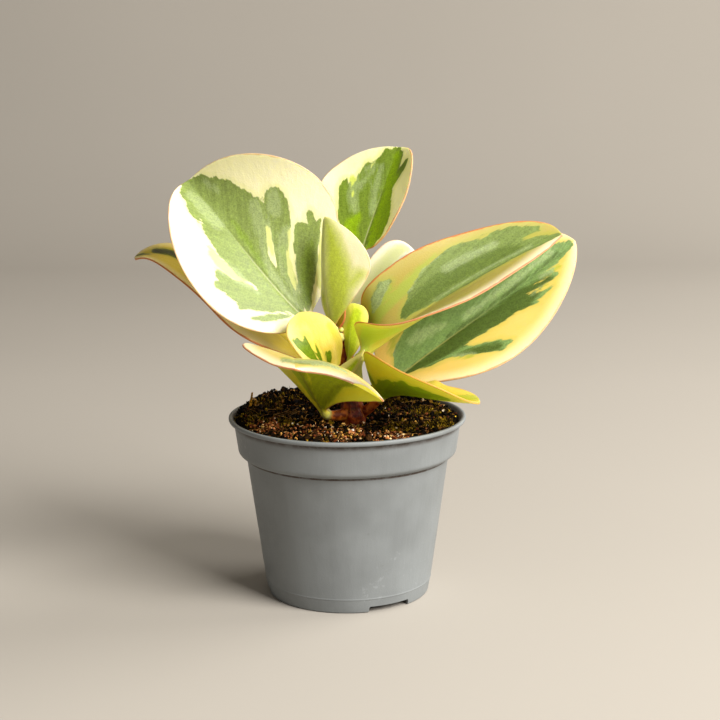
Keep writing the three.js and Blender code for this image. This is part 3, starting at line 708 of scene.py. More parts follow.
def pot_material(plastic):
    """Matt moulded plastic, a little streaky and scuffed, with dust near the lip and grime inside it, and
    painted shade mixed with grime in the step under the collar and just under the lip.
    """
    material, tree, bsdf = new_material("nursery_plastic", {"IOR": 1.48, "Coat Weight": 0.0})
    place = object_place(tree)
    height = parts_of(place)[2]
    streaks = mottle(stretch(place, (1, 1, 0.12)), 160, 3)
    cloud = mottle(place, 60, 3)
    fine = mottle(place, 1900, 2)
    dust = use_group(tree, "dust", dust_group, {"Scale": 700.0, "Share": 0.12})["Mask"]
    scuffs = use_group(tree, "dust", dust_group, {"Scale": 320.0, "Share": 0.16})["Mask"]
    color = blend(ramp(cloud, 0.3, 0.7), tint(plastic, 0.9), tint(plastic, 1.08))
    color = blend(ramp(streaks, 0.35, 0.75, 0, 0.2), color, tint(plastic, 1.18))
    color = blend(times(scuffs, 0.35), color, tint(plastic, 1.6))
    near_lip = ramp(height, (RIM_TOP - 6) * MM, (RIM_TOP - 1.5) * MM, 0.12, 0.6)
    color = blend(times(dust, near_lip), color, linear(58, 42, 28))
    from_axis = on_vectors("SUBTRACT", place, (AXIS.x, AXIS.y, 0))[0]
    radius = on_vectors("LENGTH", stretch(from_axis, (1, 1, 0)))["Value"]
    # Painted shade mixed with grime: a dark band on the wall in the step under the collar, and a fainter
    # one on the collar just under the lip. The brown inside the lip is grime.
    step_shade_and_dirt = times(band(height, 52.7, 53.6, 0.3), ramp(radius, 39 * MM, 39.6 * MM, 0.95, 0))
    lip_shade_and_dirt = times(band(height, 66.1, 66.6, 0.3), 0.4)
    inside_lip = times(ramp(radius, 43.4 * MM, 44.6 * MM, 0.85, 0), ramp(height, 64 * MM, 66 * MM))
    dirt_and_shade = calculate("MAXIMUM", step_shade_and_dirt, calculate("MAXIMUM", lip_shade_and_dirt, inside_lip))
    dirt_and_shade = times(dirt_and_shade, ramp(mottle(place, 240, 4, 0.65), 0.34, 0.6, 0.6, 1))
    color = blend(dirt_and_shade, color, linear(52, 36, 24))
    roughness = ramp(plus(fine, cloud), 0.7, 1.3, 0.44, 0.58)
    finish_material(bsdf, color, roughness, (streaks, 0.0002), (fine, 0.00004))
    return material


def grain_material(name, colors):
    """Loose grains: each has its own tone between the colours, and dust lies on all of them."""
    material, tree, bsdf = new_material(name, {"IOR": 1.4, "Specular IOR Level": 0.08, "Coat Weight": 0.0})
    tones = add_node(tree, "ValToRGB", {0: attribute(tree, "tone", "Fac")})
    stops = tones.color_ramp.elements
    while len(stops) < len(colors):
        stops.new(0.5)
    for i, color in enumerate(colors):
        stops[i].position = i / (len(colors) - 1)
        stops[i].color = rgba(color)
    fine = mottle(object_place(tree), 1500, 3)
    color = shaded(tones.outputs[0], ramp(fine, 0.32, 0.68, 0.35, 1.6))
    finish_material(bsdf, color, ramp(fine, 0.3, 0.7, 0.9, 0.7), (fine, 0.0002))
    return material


def stem_material(plant):
    """Fleshy bark: amber with dark red patches, wrinkled across, and greener near the top."""
    material, tree, bsdf = new_material("stem_bark", {
        "Subsurface Weight": 0.5, "Subsurface Scale": 0.0015, "Subsurface Radius": (1.0, 0.35, 0.12),
        "IOR": 1.45, "Coat Weight": 0.0,
    })
    place = object_place(tree)
    height = parts_of(place)[2]
    rings = mottle(stretch(place, (0.35, 0.35, 1)), 900, 4, 0.6)
    lengths = mottle(stretch(place, (1, 1, 0.15)), 1100, 3)
    patches = mottle(stretch(place, (1, 1, 0.5)), 330, 4, 0.65)
    color = blend(ramp(rings, 0.3, 0.7), tint(plant.bark, 0.4), tint(plant.bark, 1.5))
    color = blend(ramp(patches, 0.44, 0.6, 0, 0.8), color, linear(196, 96, 18))
    color = blend(ramp(lengths, 0.5, 0.8, 0, 0.45), color, linear(206, 120, 30))
    color = blend(ramp(height, 100 * MM, 114 * MM, 0, 0.75), color, tint(plant.stalk, 0.9))
    finish_material(bsdf, color, ramp(rings, 0.3, 0.7, 0.5, 0.32), (plus(rings, lengths), 0.0004))
    return material


# Meshes

def new_object(name, data):
    item = bpy.data.objects.new(name, data)
    bpy.context.scene.collection.objects.link(item)
    return item


def dress(mesh, material, smooth=True):
    mesh.materials.append(material)
    mesh.polygons.foreach_set("use_smooth", [smooth] * len(mesh.polygons))


def new_piece(name, mesh, material, slot, *nodes, smooth=True):
    """An object of the finished mesh, which rides on the part and stands for the given nodes."""
    dress(mesh, material, smooth)
    piece = new_object(name, mesh)
    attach(piece, "root")
    if nodes:
        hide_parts(*nodes)
    return piece


def finished_mesh(bm, name):
    mesh = bpy.data.meshes.new(name)
    bm.to_mesh(mesh)
    bm.free()
    return mesh


def points_of(mesh):
    points = np.empty(len(mesh.vertices) * 3)
    mesh.vertices.foreach_get("co", points)
    return points.reshape(-1, 3)


def tube(name, sides, rings):
    """A closed tube, and each vertex's ring and angle. The tube's rings are one unit apart."""
    bm = bmesh.new()
    circle = bmesh.ops.create_circle(bm, segments=sides, radius=1.0)
    edges = list({e for v in circle["verts"] for e in v.link_edges})
    bmesh.ops.spin(
        bm, geom=circle["verts"] + edges, cent=(0, 0, 0), axis=(0, 0, 1), dvec=(0, 0, 1), angle=0,
        steps=rings - 1)
    bmesh.ops.holes_fill(bm, edges=bm.edges, sides=0)
    bmesh.ops.triangulate(bm, faces=[f for f in bm.faces if len(f.verts) > 4])
    bmesh.ops.recalc_face_normals(bm, faces=bm.faces)
    mesh = finished_mesh(bm, name)
    at = points_of(mesh)
    return mesh, np.rint(at[:, 2]).astype(int), np.arctan2(at[:, 1], at[:, 0])


def set_points(mesh, points):
    mesh.vertices.foreach_set("co", metres(points).astype(np.float32).ravel())
    mesh.update()


def set_attribute(mesh, name, values):
    kind, field = ("FLOAT_VECTOR", "vector") if np.ndim(values) == 2 else ("FLOAT", "value")
    layer = mesh.attributes.new(name, kind, "POINT")
    layer.data.foreach_set(field, np.asarray(values, np.float32).ravel())


def unit(vectors):
    return vectors / np.maximum(np.linalg.norm(vectors, axis=-1, keepdims=True), 1e-9)


def lerp(a, b, share):
    return a * (1 - share) + b * share


def ease(x):
    x = np.clip(x, 0, 1)
    return x * x * (3 - 2 * x)


def bezier(controls, s):
    a, b, c, d = (np.asarray(p, float) for p in controls)
    s = s[:, None]
    r = 1 - s
    point = r**3 * a + 3 * r * r * s * b + 3 * r * s * s * c + s**3 * d
    slope = 3 * r * r * (b - a) + 6 * r * s * (c - b) + 3 * s * s * (d - c)
    return point, unit(slope)


def frame_on(tangent, facing):
    """Up, the way the upper face looks, and right, both square to the tangent."""
    up = unit(facing - (facing * tangent).sum(1, keepdims=True) * tangent)
    return up, np.cross(tangent, up)


def half_width(s, outline):
    widest, basal, apical = outline
    rising = np.sin(np.pi / 2 * np.clip(s / widest, 0, 1)) ** basal
    falling = np.cos(np.pi / 2 * np.clip((s - widest) / (1 - widest), 0, 1)) ** apical
    return np.where(s < widest, rising, falling)


MARGIN_WAVE = 0.35  # rise of the waves along a margin
MARGIN_ROUND = 0.55  # how far in from a margin its rounding starts
SLOPE_STEPS = 12
OUTSIDE = -30.0  # depth of a point that is near no stroke


def section(q, width, fold, curl, crease):
    """Offset across and up of a point q of the way to a margin, and the blade's slope there."""
    across, up = np.zeros_like(q), np.zeros_like(q)
    for i in range(SLOPE_STEPS):
        at = (i + 0.5) / SLOPE_STEPS * q
        slope = fold * (1 - np.exp(-at * width / crease)) + curl * at
        across += np.cos(slope) * q * width / SLOPE_STEPS
        up += np.sin(slope) * q * width / SLOPE_STEPS
    return across, up, fold * (1 - np.exp(-q * width / crease)) + curl * q


def inside_strokes(strokes, x, y):
    """How far inside the strokes each point is, in millimetres: negative outside."""
    depth = np.full(len(x), OUTSIDE)
    for stroke in strokes:
        for (xa, ya, ra), (xb, yb, rb) in zip(stroke, stroke[1:]):
            dx, dy = xb - xa, yb - ya
            share = np.clip(((x - xa) * dx + (y - ya) * dy) / (dx * dx + dy * dy), 0, 1)
            away = np.hypot(x - xa - share * dx, y - ya - share * dy)
            depth = np.maximum(depth, ra + (rb - ra) * share - away)
    return depth


STALK_RINGS = 18
COLLAR = 0.07  # share of the blade over which the round stalk flattens
FURROW_DEPTH, FURROW_WIDTH = 0.38, 0.8  # of the midrib on the upper face
KEEL_HEIGHT, KEEL_WIDTH = 0.5, 1.3  # of the midrib under the blade


def round_out(up, right, share, on_top):
    """The way out of a round ring. share runs from its left side, 0, to its right side, 1."""
    bearing = np.pi - share * np.pi
    return right * np.cos(bearing)[:, None] + up * (on_top * np.sin(bearing))[:, None]


def stalk_points(leaf, v, share, on_top):
    """The stalk, a share v of the way from the stem's axis to the blade, with a channel along its top."""
    start, lead = (p[0] for p in bezier(leaf["rib"], np.zeros(1)))
    on_stem, bend = (np.asarray(p, float) for p in leaf["stalk"])
    reach = np.linalg.norm(start - bend) * 0.4
    centre, tangent = bezier([on_stem, bend, start - lead * reach, start], v)
    up, right = frame_on(tangent, np.broadcast_to(np.asarray(leaf["face"][0], float), centre.shape))
    channel = 1 - 0.22 * np.exp(-((share - 0.5) * 7) ** 2) * (on_top > 0)
    swell = leaf["stalk_radius"] * lerp(1.3, 1, ease(v * 1.4)) * channel
    return centre + round_out(up, right, share, on_top) * swell[:, None]


def blade_points(leaf, s, t, share, on_top, thickness):
    """The blade, a share s of its length from its base and t of its half width from its midrib."""
    q = np.abs(t)
    side = (t >= 0).astype(int)
    sign = np.where(side == 1, 1.0, -1.0)
    upper = on_top > 0
    centre, tangent = bezier(leaf["rib"], s)
    base_face, tip_face = (np.asarray(f, float) for f in leaf["face"])
    up, right = frame_on(tangent, lerp(base_face, tip_face, s[:, None]))
    widths = [leaf["half"][i] * half_width(s, leaf["outline"][i]) for i in (0, 1)]
    width = np.maximum(np.choose(side, widths), 0.3)
    fold, curl = (
        np.radians(np.choose(side, [lerp(*leaf[key][i], s) for i in (0, 1)])) for key in ("fold", "curl")
    )
    across, rise, slope = section(q, width, fold, curl, leaf["crease"])
    wave = MARGIN_WAVE * q * q * np.sin(15 * s + side * 2) * np.minimum(1, width / 12)
    tilt = (slope * np.minimum(1, q * width / 2))[:, None]
    normal = up * np.cos(tilt) - right * sign[:, None] * np.sin(tilt)
    from_margin = (1 - q) * width
    from_rib = q * width
    rounded = np.sqrt(np.clip(1 - (1 - np.clip(from_margin / MARGIN_ROUND, 0, 1)) ** 2, 0, 1))
    thick = lerp(thickness, thickness * 0.6, q * q) * lerp(1, 0.75, s) / 2 * rounded
    fade = (1 - s) ** 0.6
    spread = np.exp(-((from_rib / np.where(upper, FURROW_WIDTH, KEEL_WIDTH)) ** 2))
    groove = leaf["groove"] * np.where(upper, -FURROW_DEPTH, KEEL_HEIGHT) * fade * spread
    blade = centre + right * (sign * across)[:, None] + up * (rise + wave)[:, None]
    blade += normal * (thick * on_top + np.where(upper, groove, -groove))[:, None]
    flat = ease(s / COLLAR)
    out = round_out(up, right, share, on_top)
    collar = centre + out * (leaf["stalk_radius"] * lerp(1, 0.7, flat))[:, None]
    return lerp(collar, blade, flat[:, None]), from_margin, sign * from_rib


def leaf_marks(leaf, x, y):
    green = inside_strokes(leaf["green"], x, y)
    if leaf["cut"]:
        green = np.minimum(green, -inside_strokes(leaf["cut"], x, y))
    return np.stack([green, *(inside_strokes(leaf[key], x, y) for key in ("deep", "wash"))], 1)


def leaf_veins(leaf, x, y, right_side, lower):
    """Across and along the side veins, which rise from the midrib, and 1 on the lower face."""
    rake = leaf["rake"]
    spread = math.hypot(1, rake)
    across = (y - rake * np.abs(x) + 0.008 * rake * x**2) / spread + 40 * right_side
    return np.stack([across, np.abs(x) * spread, lower.astype(float)], 1)


def leaf_mesh(name, leaf, thickness):
    """One leaf: a round stalk that flattens into a blade with a rounded margin and a sunken midrib."""
    length = np.linalg.norm(np.diff(bezier(leaf["rib"], np.linspace(0, 1, 60))[0], axis=0), axis=1).sum()
    quarter = int(np.clip(sum(leaf["half"]) * 0.7, 14, 44))  # vertices in a quarter of a ring
    rows = int(np.clip(length * 1.6, 30, 130))
    mesh, ring, angle = tube(name, 4 * quarter, STALK_RINGS + rows + 1)

    # Each half ring runs from the left margin to the right one, closer together at the midrib and margins.
    angle = np.mod(angle, 2 * np.pi)
    upper = angle <= np.pi + 1e-6
    on_top = np.where(upper, 1.0, -1.0)
    share = np.where(upper, 1 - angle / np.pi, angle / np.pi - 1)
    x = 2 * share - 1
    t = np.sign(x) * (np.abs(x) - 0.82 * np.sin(2 * np.pi * np.abs(x)) / (2 * np.pi))
    u = np.clip((ring - STALK_RINGS) / rows, 0, 1)
    s = lerp(u, 0.5 - 0.5 * np.cos(np.pi * u), 0.75)
    v = np.clip(ring / STALK_RINGS, 0, 1)
    in_stalk = ring < STALK_RINGS
    points, from_margin, from_rib = blade_points(leaf, s, t, share, on_top, thickness)
    points[in_stalk] = stalk_points(leaf, v, share, on_top)[in_stalk]
    set_points(mesh, points)

    # The stalk has no strokes of its own: it counts as just below the blade and well inside its margins.
    x_mm = np.where(in_stalk, 0, from_rib)
    y_mm = np.where(in_stalk, -2, s * length)
    margin = np.where(in_stalk, 9, from_margin)
    along = np.where(in_stalk, v - 1, s)
    set_attribute(mesh, "marks", leaf_marks(leaf, x_mm, y_mm))
    set_attribute(mesh, "place", np.stack([margin, x_mm, along], 1))
    set_attribute(mesh, "veins", leaf_veins(leaf, x_mm, y_mm, t >= 0, ~upper))
    return mesh


MIX_LEVEL = 67.6
MIX_EDGE = 42.0  # outermost middle of a loose grain
BED_EDGE = 41.9
POT_INSIDE = 42.2
STEM_FOOT = (2.0, -2.4)


def lumps(x, y, pitch, seed):
    """Smooth pseudo-random heights, between -1 and 1, on a lattice of the given pitch."""
    def corner(i, j):
        h = np.sin(i * 127.1 + j * 311.7 + seed * 74.7) * 43758.5453
        return 2 * (h - np.floor(h)) - 1
    u, v = x / pitch, y / pitch
    i, j = np.floor(u), np.floor(v)
    a, b = ease(u - i), ease(v - j)
    return lerp(lerp(corner(i, j), corner(i + 1, j), a), lerp(corner(i, j + 1), corner(i + 1, j + 1), a), b)


def mix_top(x, y):
    """Mean height of the mix's surface: mounded to the back left, sunk round the stem."""
    x, y = np.asarray(x, float), np.asarray(y, float)
    dip = 1.7 * np.exp(-((np.hypot(x - STEM_FOOT[0], y - STEM_FOOT[1]) / 11) ** 2))
    return MIX_LEVEL + 0.07 * y - 0.03 * x - dip + 0.55 * lumps(x, y, 7, 1) + 0.4 * lumps(x, y, 3.7, 2)


def ground(x, y):
    """Height of the bed with its hollows and clods."""
    place = Vector((x, y, 0))
    rough = 0.9 * noise.noise(place * 0.16) + 1.1 * noise.fractal(place * 0.34, 1.0, 2.0, 4)
    return float(mix_top(x, y)) + rough * min(1, (POT_INSIDE - math.hypot(x, y)) / 2 + 0.25)


def moved(*place):
    return Matrix.Translation(place)


def turned(angle, axis="Z"):
    return Matrix.Rotation(angle, 4, axis)


def sized(*sizes):
    return Matrix.Diagonal((*sizes, 1))


def spin_profile(profile, steps):
    """A turned solid: the closed profile of (radius, height) in millimetres, spun about the axis."""
    bm = bmesh.new()
    corners = [bm.verts.new((r, 0, z)) for r, z in profile]
    edges = [bm.edges.new(pair) for pair in zip(corners, corners[1:])]
    bmesh.ops.spin(
        bm, geom=corners + edges, cent=(0, 0, 0), axis=(0, 0, 1), angle=2 * math.pi, steps=steps,
        use_merge=True)
    bmesh.ops.remove_doubles(bm, verts=bm.verts, dist=0.001)
    bmesh.ops.recalc_face_normals(bm, faces=bm.faces)
    return bm


def rounded_profile(corners, segments=3):
    """A profile whose corners, given as (radius, height, rounding), are rounded by short arcs."""
    points = []
    for i, (r, z, rounding) in enumerate(corners):
        here = Vector((r, z))
        if rounding == 0 or i in (0, len(corners) - 1):
            points.append(here)
            continue
        before = (Vector(corners[i - 1][:2]) - here).normalized() * rounding
        after = (Vector(corners[i + 1][:2]) - here).normalized() * rounding
        for k in range(segments + 1):
            w = k / segments
            points.append(here + before * (1 - w) ** 2 + after * w**2)
    return [(p.x, p.y) for p in points]


POT_STEPS = 144
FLOOR_UNDER, FLOOR_TOP = 2.3, 3.4
FOOT_RADIUS = 30.8
NOTCH_WIDTH, NOTCH_REACH = 17, 10
NOTCH_FIRST = 30  # degrees from the front towards the right
DRAIN_RADIUS = 3.2
DRAIN_CIRCLE = 19
DRAIN_COUNT = 6
DRAIN_STEPS = 32


def polar(radius, degrees, z):
    bearing = math.radians(degrees)
    return radius * math.sin(bearing), -radius * math.cos(bearing), z


def cut_pot(mesh, notch):
    """Takes the notches out of the foot and the drain holes out of the floor."""
    bm = bmesh.new()
    for bearing in (NOTCH_FIRST, NOTCH_FIRST + 120, NOTCH_FIRST + 240):
        place = moved(*polar(FOOT_RADIUS, bearing, 0)) @ turned(math.radians(bearing))
        matrix = place @ sized(NOTCH_WIDTH, NOTCH_REACH, 2 * notch)
        box = bmesh.ops.create_cube(bm, size=1, matrix=matrix)
        upper = {e for v in box["verts"] for e in v.link_edges if min(w.co.z for w in e.verts) > 0}
        inwards = [e for e in upper if abs(e.calc_length() - NOTCH_REACH) < 0.01]
        bmesh.ops.bevel(bm, geom=inwards, offset=0.6, segments=3, profile=0.5, affect="EDGES", material=-1)
    off_seam = turned(math.radians(180 / DRAIN_STEPS))
    for i in range(DRAIN_COUNT):
        matrix = moved(*polar(DRAIN_CIRCLE, 360 * i / DRAIN_COUNT, FLOOR_TOP)) @ off_seam
        bmesh.ops.create_cone(
            bm, cap_ends=True, segments=DRAIN_STEPS, radius1=DRAIN_RADIUS, radius2=DRAIN_RADIUS, depth=8,
            matrix=matrix)
    cutter = new_object("pot_cutter", finished_mesh(bm, "pot_cutter"))
    body = new_object("pot_body", mesh)
    hollow = body.modifiers.new("cut", "BOOLEAN")
    hollow.object, hollow.operation, hollow.solver = cutter, "DIFFERENCE", "EXACT"
    bpy.context.view_layer.update()
    evaluated = body.evaluated_get(bpy.context.evaluated_depsgraph_get())
    result = bpy.data.meshes.new_from_object(evaluated)
    for item in (cutter, body):
        bpy.data.objects.remove(item)
    return result


def pot_mesh(wall, notch):
    """The pot: a profile of (radius, height, rounding), from under the floor round the lip, spun."""
    corners = [
        (0, FLOOR_UNDER, 0), (29.5, FLOOR_UNDER, 0.3), (29.5, 0, 0.2), (FOOT_RADIUS, 0, 0.35),
        (31.75, 4.9, 0.1), (31.98, 5.3, 0.12), (31.9, 5.8, 0.1), (38.5, 53.6, 0.1), (39.6, 53.7, 0.12),
        (41.4, 55.0, 0.8),
        (41.62, 56.7, 0.3), (43, 66.5, 0.2), (44.6, 66.8, 0.25), (45, 67.5, 0.35), (44.85, 68.35, 0.3),
        (44.1, RIM_TOP, 0.3), (43.3, 68.2, 0.35), (43 - wall, 66.8, 0.3), (41.6 - wall, 56.6, 0.5),
        (38.5 - wall, 53.8, 0.5), (31.9 - wall, 5.3, 0.4), (30.3, FLOOR_TOP, 0.6), (0, FLOOR_TOP, 0),
    ]
    mesh = cut_pot(finished_mesh(spin_profile(rounded_profile(corners), POT_STEPS), "pot"), notch)
    for vertex in mesh.vertices:
        x, y, z = vertex.co
        bearing = math.atan2(y, x)
        lift = (z / RIM_TOP) ** 2
        sway = 1 + 0.0022 * lift * math.sin(2 * bearing + 0.6) + 0.0012 * lift * math.sin(5 * bearing)
        vertex.co = (x * sway, y * sway, z - 0.12 * lift * (1 + math.sin(3 * bearing + 1)))
    set_points(mesh, points_of(mesh))
    return mesh


def bed_mesh():
    """The body of the mix: a plug that fills the pot, with a rough top."""
    foot = 3.7
    wall = [(29.9, foot), (30.5, 5.5), (37.3, 54), (40.4, 56.9), (BED_EDGE, 65.9)]
    rings = 60
    top = [(BED_EDGE * (1 - (i / rings) ** 1.05), MIX_LEVEL) for i in range(rings)]
    bm = spin_profile([(0, foot), *wall, *top, (0, MIX_LEVEL)], 180)
    for vertex in bm.verts:
        if vertex.co.z > MIX_LEVEL - 0.1:
            vertex.co.z = ground(vertex.co.x, vertex.co.y)
    mesh = finished_mesh(bm, "mix_bed")
    points = points_of(mesh)
    set_points(mesh, points)
    set_attribute(mesh, "tone", 0.5 + 0.5 * lumps(points[:, 0], points[:, 1], 2.3, 9))
    return mesh


BATCH = 150  # shapes that are joined before they are added to the rest
TURN = 6.28
STEM_CLEAR = 5.2  # how far the grains keep from the stem's middle
# Where moss grows and where the pale crumbs lie: (x, y, radius).
MOSS_PATCHES = (
    (20, -14, 7), (30, 7, 8), (36, -10, 6), (-23, -14, 5), (-36, -8, 6), (-30, 12, 9), (10, 20, 10),
)
PALE_PATCHES = ((-14, -20, 12), (2, -26, 10), (16, -28, 8), (-30, -17, 6))
# Single bits that lie on the mix: (kind, x, y, size, tone from dark to gold to white).
FOUND_BITS = (
    ("twig", -36.8, 7, 6.4, 0.4), ("twig", -35.4, 9, 3.2, 0.3), ("curl", -36.4, 13.5, 1.3, 0.6),
    ("curl", -7.3, -6.6, 1.7, 0.5), ("pebble", 2, -20, 0.9, 1.0), ("pebble", 2.8, -21.4, 0.6, 1.0),
    ("pebble", 5.7, -25.6, 1.15, 1.0), ("pebble", 30, -11, 0.9, 0.75), ("pebble", -1.5, -13, 0.9, 0.55),
)


def toned_bmesh():
    bm = bmesh.new()
    return bm, bm.verts.layers.float.new("tone")


def pour(bm, target):
    """Adds one bmesh's shapes to another and frees it."""
    part = finished_mesh(bm, "part")
    target.from_mesh(part)
    bpy.data.meshes.remove(part)


def scatter(name, count, rng, make):
    """A mesh of count small shapes. make(bm, rng) adds one shape, in millimetres, and returns its tone."""
    whole, _ = toned_bmesh()
    for first in range(0, count, BATCH):
        batch, _ = toned_bmesh()
        for _ in range(min(BATCH, count - first)):
            bm, layer = toned_bmesh()
            tone = make(bm, rng)
            for vertex in bm.verts:
                vertex[layer] = tone
            pour(bm, batch)
        pour(batch, whole)
    mesh = finished_mesh(whole, name)
    set_points(mesh, points_of(mesh))
    return mesh


def spot(rng, edge=MIX_EDGE, patches=()):
    """A random place on the mix's surface, off the stem, and mostly on the patches, if there are any."""
    while True:
        radius = edge * math.sqrt(rng.random())
        bearing = rng.uniform(0, 2 * math.pi)
        x, y = radius * math.cos(bearing), radius * math.sin(bearing)
        if patches and rng.random() < 0.8:
            px, py, reach = rng.choice(patches)
            x, y = rng.gauss(px, reach / 2), rng.gauss(py, reach / 2)
        if math.hypot(x, y) < edge and math.hypot(x - STEM_FOOT[0], y - STEM_FOOT[1]) > STEM_CLEAR:
            return x, y, ground(x, y)


def any_turn(rng):
    return turned(rng.uniform(0, TURN))


def jitter(vertices, rng, reach, scale=1):
    for vertex in vertices:
        vertex.co += Vector([rng.uniform(-reach, reach) * scale for _ in range(3)])


def ball(bm, matrix, fine=1):
    return bmesh.ops.create_icosphere(bm, subdivisions=fine, radius=1, matrix=matrix)["verts"]


def closed_strand(bm, ring, **spin):
    """Sweeps a ring of vertices about or along the vertical axis and closes both ends."""
    bmesh.ops.spin(bm, geom=ring + bm.edges[:], cent=(0, 0, 0), axis=(0, 0, 1), **spin)
    bmesh.ops.holes_fill(bm, edges=bm.edges, sides=0)


def crumb_maker(low, high, lift=0.25, flat=0.6, patches=(), fine=1):
    def make(bm, rng):
        size = low + (high - low) * rng.random() ** 2
        x, y, z = spot(rng, MIX_EDGE - size, patches)
        sizes = [size * rng.uniform(flat, 1.2) for _ in range(3)]
        at = moved(x, y, z + size * rng.uniform(-0.1, 0.6) + lift)
        angle = rng.uniform(0, TURN)
        turn = turned(angle, Vector([rng.uniform(-1, 1) for _ in range(3)]))
        jitter(ball(bm, at @ turn @ sized(*sizes), fine), rng, 0.24, size / fine ** 0.5)
        # Crumbs off the pale patches come out much darker: partly the mix's own darker crumbs, partly
        # painted shade where the leaves shade the mix.
        pale_and_unshaded = any(math.hypot(x - px, y - py) < reach * 0.9 for px, py, reach in PALE_PATCHES)
        return rng.random() ** (1.9 if pale_and_unshaded else 4)
    return make


def found_bit(bm, rng, kind, x, y, size, tone):
    """A standing twig, a curled shaving or a pebble."""
    at = moved(x, y, ground(x, y))
    if kind == "twig":
        matrix = at @ moved(0, 0, size / 2) @ turned(0.15, "Y")
        made = bmesh.ops.create_cone(
            bm, cap_ends=True, segments=7, radius1=0.55, radius2=0.3, depth=size, matrix=matrix)["verts"]
        wobble = 0.12
    elif kind == "curl":
        ring = bmesh.ops.create_circle(bm, segments=6, radius=0.36, matrix=moved(size, 0, 0))["verts"]
        bmesh.ops.rotate(bm, verts=ring, cent=(size, 0, 0), matrix=Matrix.Rotation(math.pi / 2, 3, "X"))
        closed_strand(bm, ring, angle=4, steps=12)
        made = bm.verts[:]
        bmesh.ops.transform(bm, matrix=at @ moved(0, 0, size * 0.95) @ turned(1.1, "X"), verts=made)
        wobble = 0.05
    else:
        made = ball(bm, at @ moved(0, 0, size * 0.7) @ sized(size, size * 0.8, size * 0.7), 2)
        wobble = 0.1 * size
    jitter(made, rng, wobble)
    return tone


def bark_maker(bm, rng):
    x, y, z = spot(rng, MIX_EDGE - 2)
    sizes = (rng.uniform(0.9, 2.4), rng.uniform(0.4, 0.9), rng.uniform(0.15, 0.4))
    matrix = moved(x, y, z + 0.5) @ any_turn(rng) @ turned(rng.uniform(-0.7, 0.7), "Y") @ sized(*sizes)
    jitter(ball(bm, matrix), rng, 0.15)
    return rng.random()


def tuft_maker(bm, rng):
    """A moss tuft: a few curved pointed shoots on one spot."""
    x, y, z = spot(rng, MIX_EDGE - 1, MOSS_PATCHES)
    for _ in range(rng.randint(5, 9)):
        height = rng.uniform(0.6, 2.0)
        lean = turned(rng.uniform(0.2, 1.3), "Y")
        turn = any_turn(rng)
        at = moved(x + rng.uniform(-0.8, 0.8), y + rng.uniform(-0.8, 0.8), z + 0.1)
        bmesh.ops.create_cone(
            bm, cap_ends=True, segments=4, radius1=rng.uniform(0.16, 0.34), radius2=0.03, depth=height,
            matrix=at @ turn @ lean @ moved(0, 0, height / 2))
    return rng.random()


def fibre_maker(bm, rng):
    """A fine root or strand that lies on the mix in a bow."""
    x, y, _ = spot(rng, MIX_EDGE - 3)
    length = rng.uniform(2.5, 8)
    steps = 6
    ring = bmesh.ops.create_circle(bm, segments=4, radius=rng.uniform(0.05, 0.1))["verts"]
    closed_strand(bm, ring, dvec=(0, 0, length / steps), angle=0, steps=steps)
    bow = rng.uniform(-2, 2)
    rise = rng.uniform(0.2, 1.2)
    turn = any_turn(rng)
    for vertex in bm.verts:
        w = vertex.co.z / length - 0.5
        arc = 0.25 - w * w
        bent = turn @ Vector((w * length, vertex.co.x + bow * arc, vertex.co.y + rise * arc))
        over = bent.x + x, bent.y + y
        vertex.co = Vector((*over, bent.z + float(mix_top(*over)) + 1))
    return rng.random()


STEM_RINGS = 130
STEM_CAP = 6  # rings of the rounded top


def stem_mesh():
    """The stem: a smooth curve through its points, with swellings, flutes and a rounded top."""
    mesh, ring, angle = tube("stem", 56, STEM_RINGS)
    body = STEM_RINGS - 1 - STEM_CAP
    knots = np.array([p for p, _ in STEM], float)
    radii = np.array([r for _, r in STEM], float)
    u = np.clip(ring / body, 0, 1) * (len(STEM) - 1)
    k = np.minimum(u.astype(int), len(STEM) - 2)
    w = (u - k)[:, None]
    ends = np.vstack([2 * knots[0] - knots[1], knots, 2 * knots[-1] - knots[-2]])
    a, b, c, d = (ends[k + i] for i in range(4))
    bend, twist = 2 * a - 5 * b + 4 * c - d, 3 * b - a - 3 * c + d
    centre = 0.5 * (2 * b + (c - a) * w + bend * w**2 + twist * w**3)
    tangent = unit((c - a) + 2 * bend * w + 3 * twist * w**2)
    radius = lerp(radii[k], radii[k + 1], ease(u - k))
    for z in SWELLINGS:
        radius += 0.45 * np.exp(-(((centre[:, 2] - z) / 1.3) ** 2))
        radius -= 0.18 * np.exp(-(((centre[:, 2] - z - 2.2) / 0.5) ** 2))
    radius += 0.12 * np.sin(7 * angle + centre[:, 2] * 0.2) + 0.1 * np.sin(11 * angle - centre[:, 2] * 0.33)
    beyond = np.maximum(0, ring - body) / STEM_CAP
    radius *= np.sqrt(np.maximum(0.02, 1 - beyond**2))
    across = unit(np.array([1.0, 0, 0]) - tangent * tangent[:, :1])
    other = np.cross(tangent, across)
    points = centre + tangent * (beyond * 1.2)[:, None]
    points += across * (radius * np.cos(angle))[:, None] + other * (radius * np.sin(angle))[:, None]
    set_points(mesh, points)
    return mesh


# Operators

class PEPEROMIA_OT_pot(bpy.types.Operator):
    """Adds the nursery pot, with its lip, step, ridge, drain notches and drain holes"""
    bl_idname = "peperomia.add_pot"
    bl_label = "Add Pot"

    def execute(self, context):
        settings = context.scene.peperomia.pot
        mesh = pot_mesh(settings.wall / MM, settings.notch / MM)
        piece = new_piece("nursery_pot", mesh, pot_material(settings.plastic), "pot_plastic", "pot")
        piece.data.set_sharp_from_angle(angle=math.radians(40))
        return {"FINISHED"}


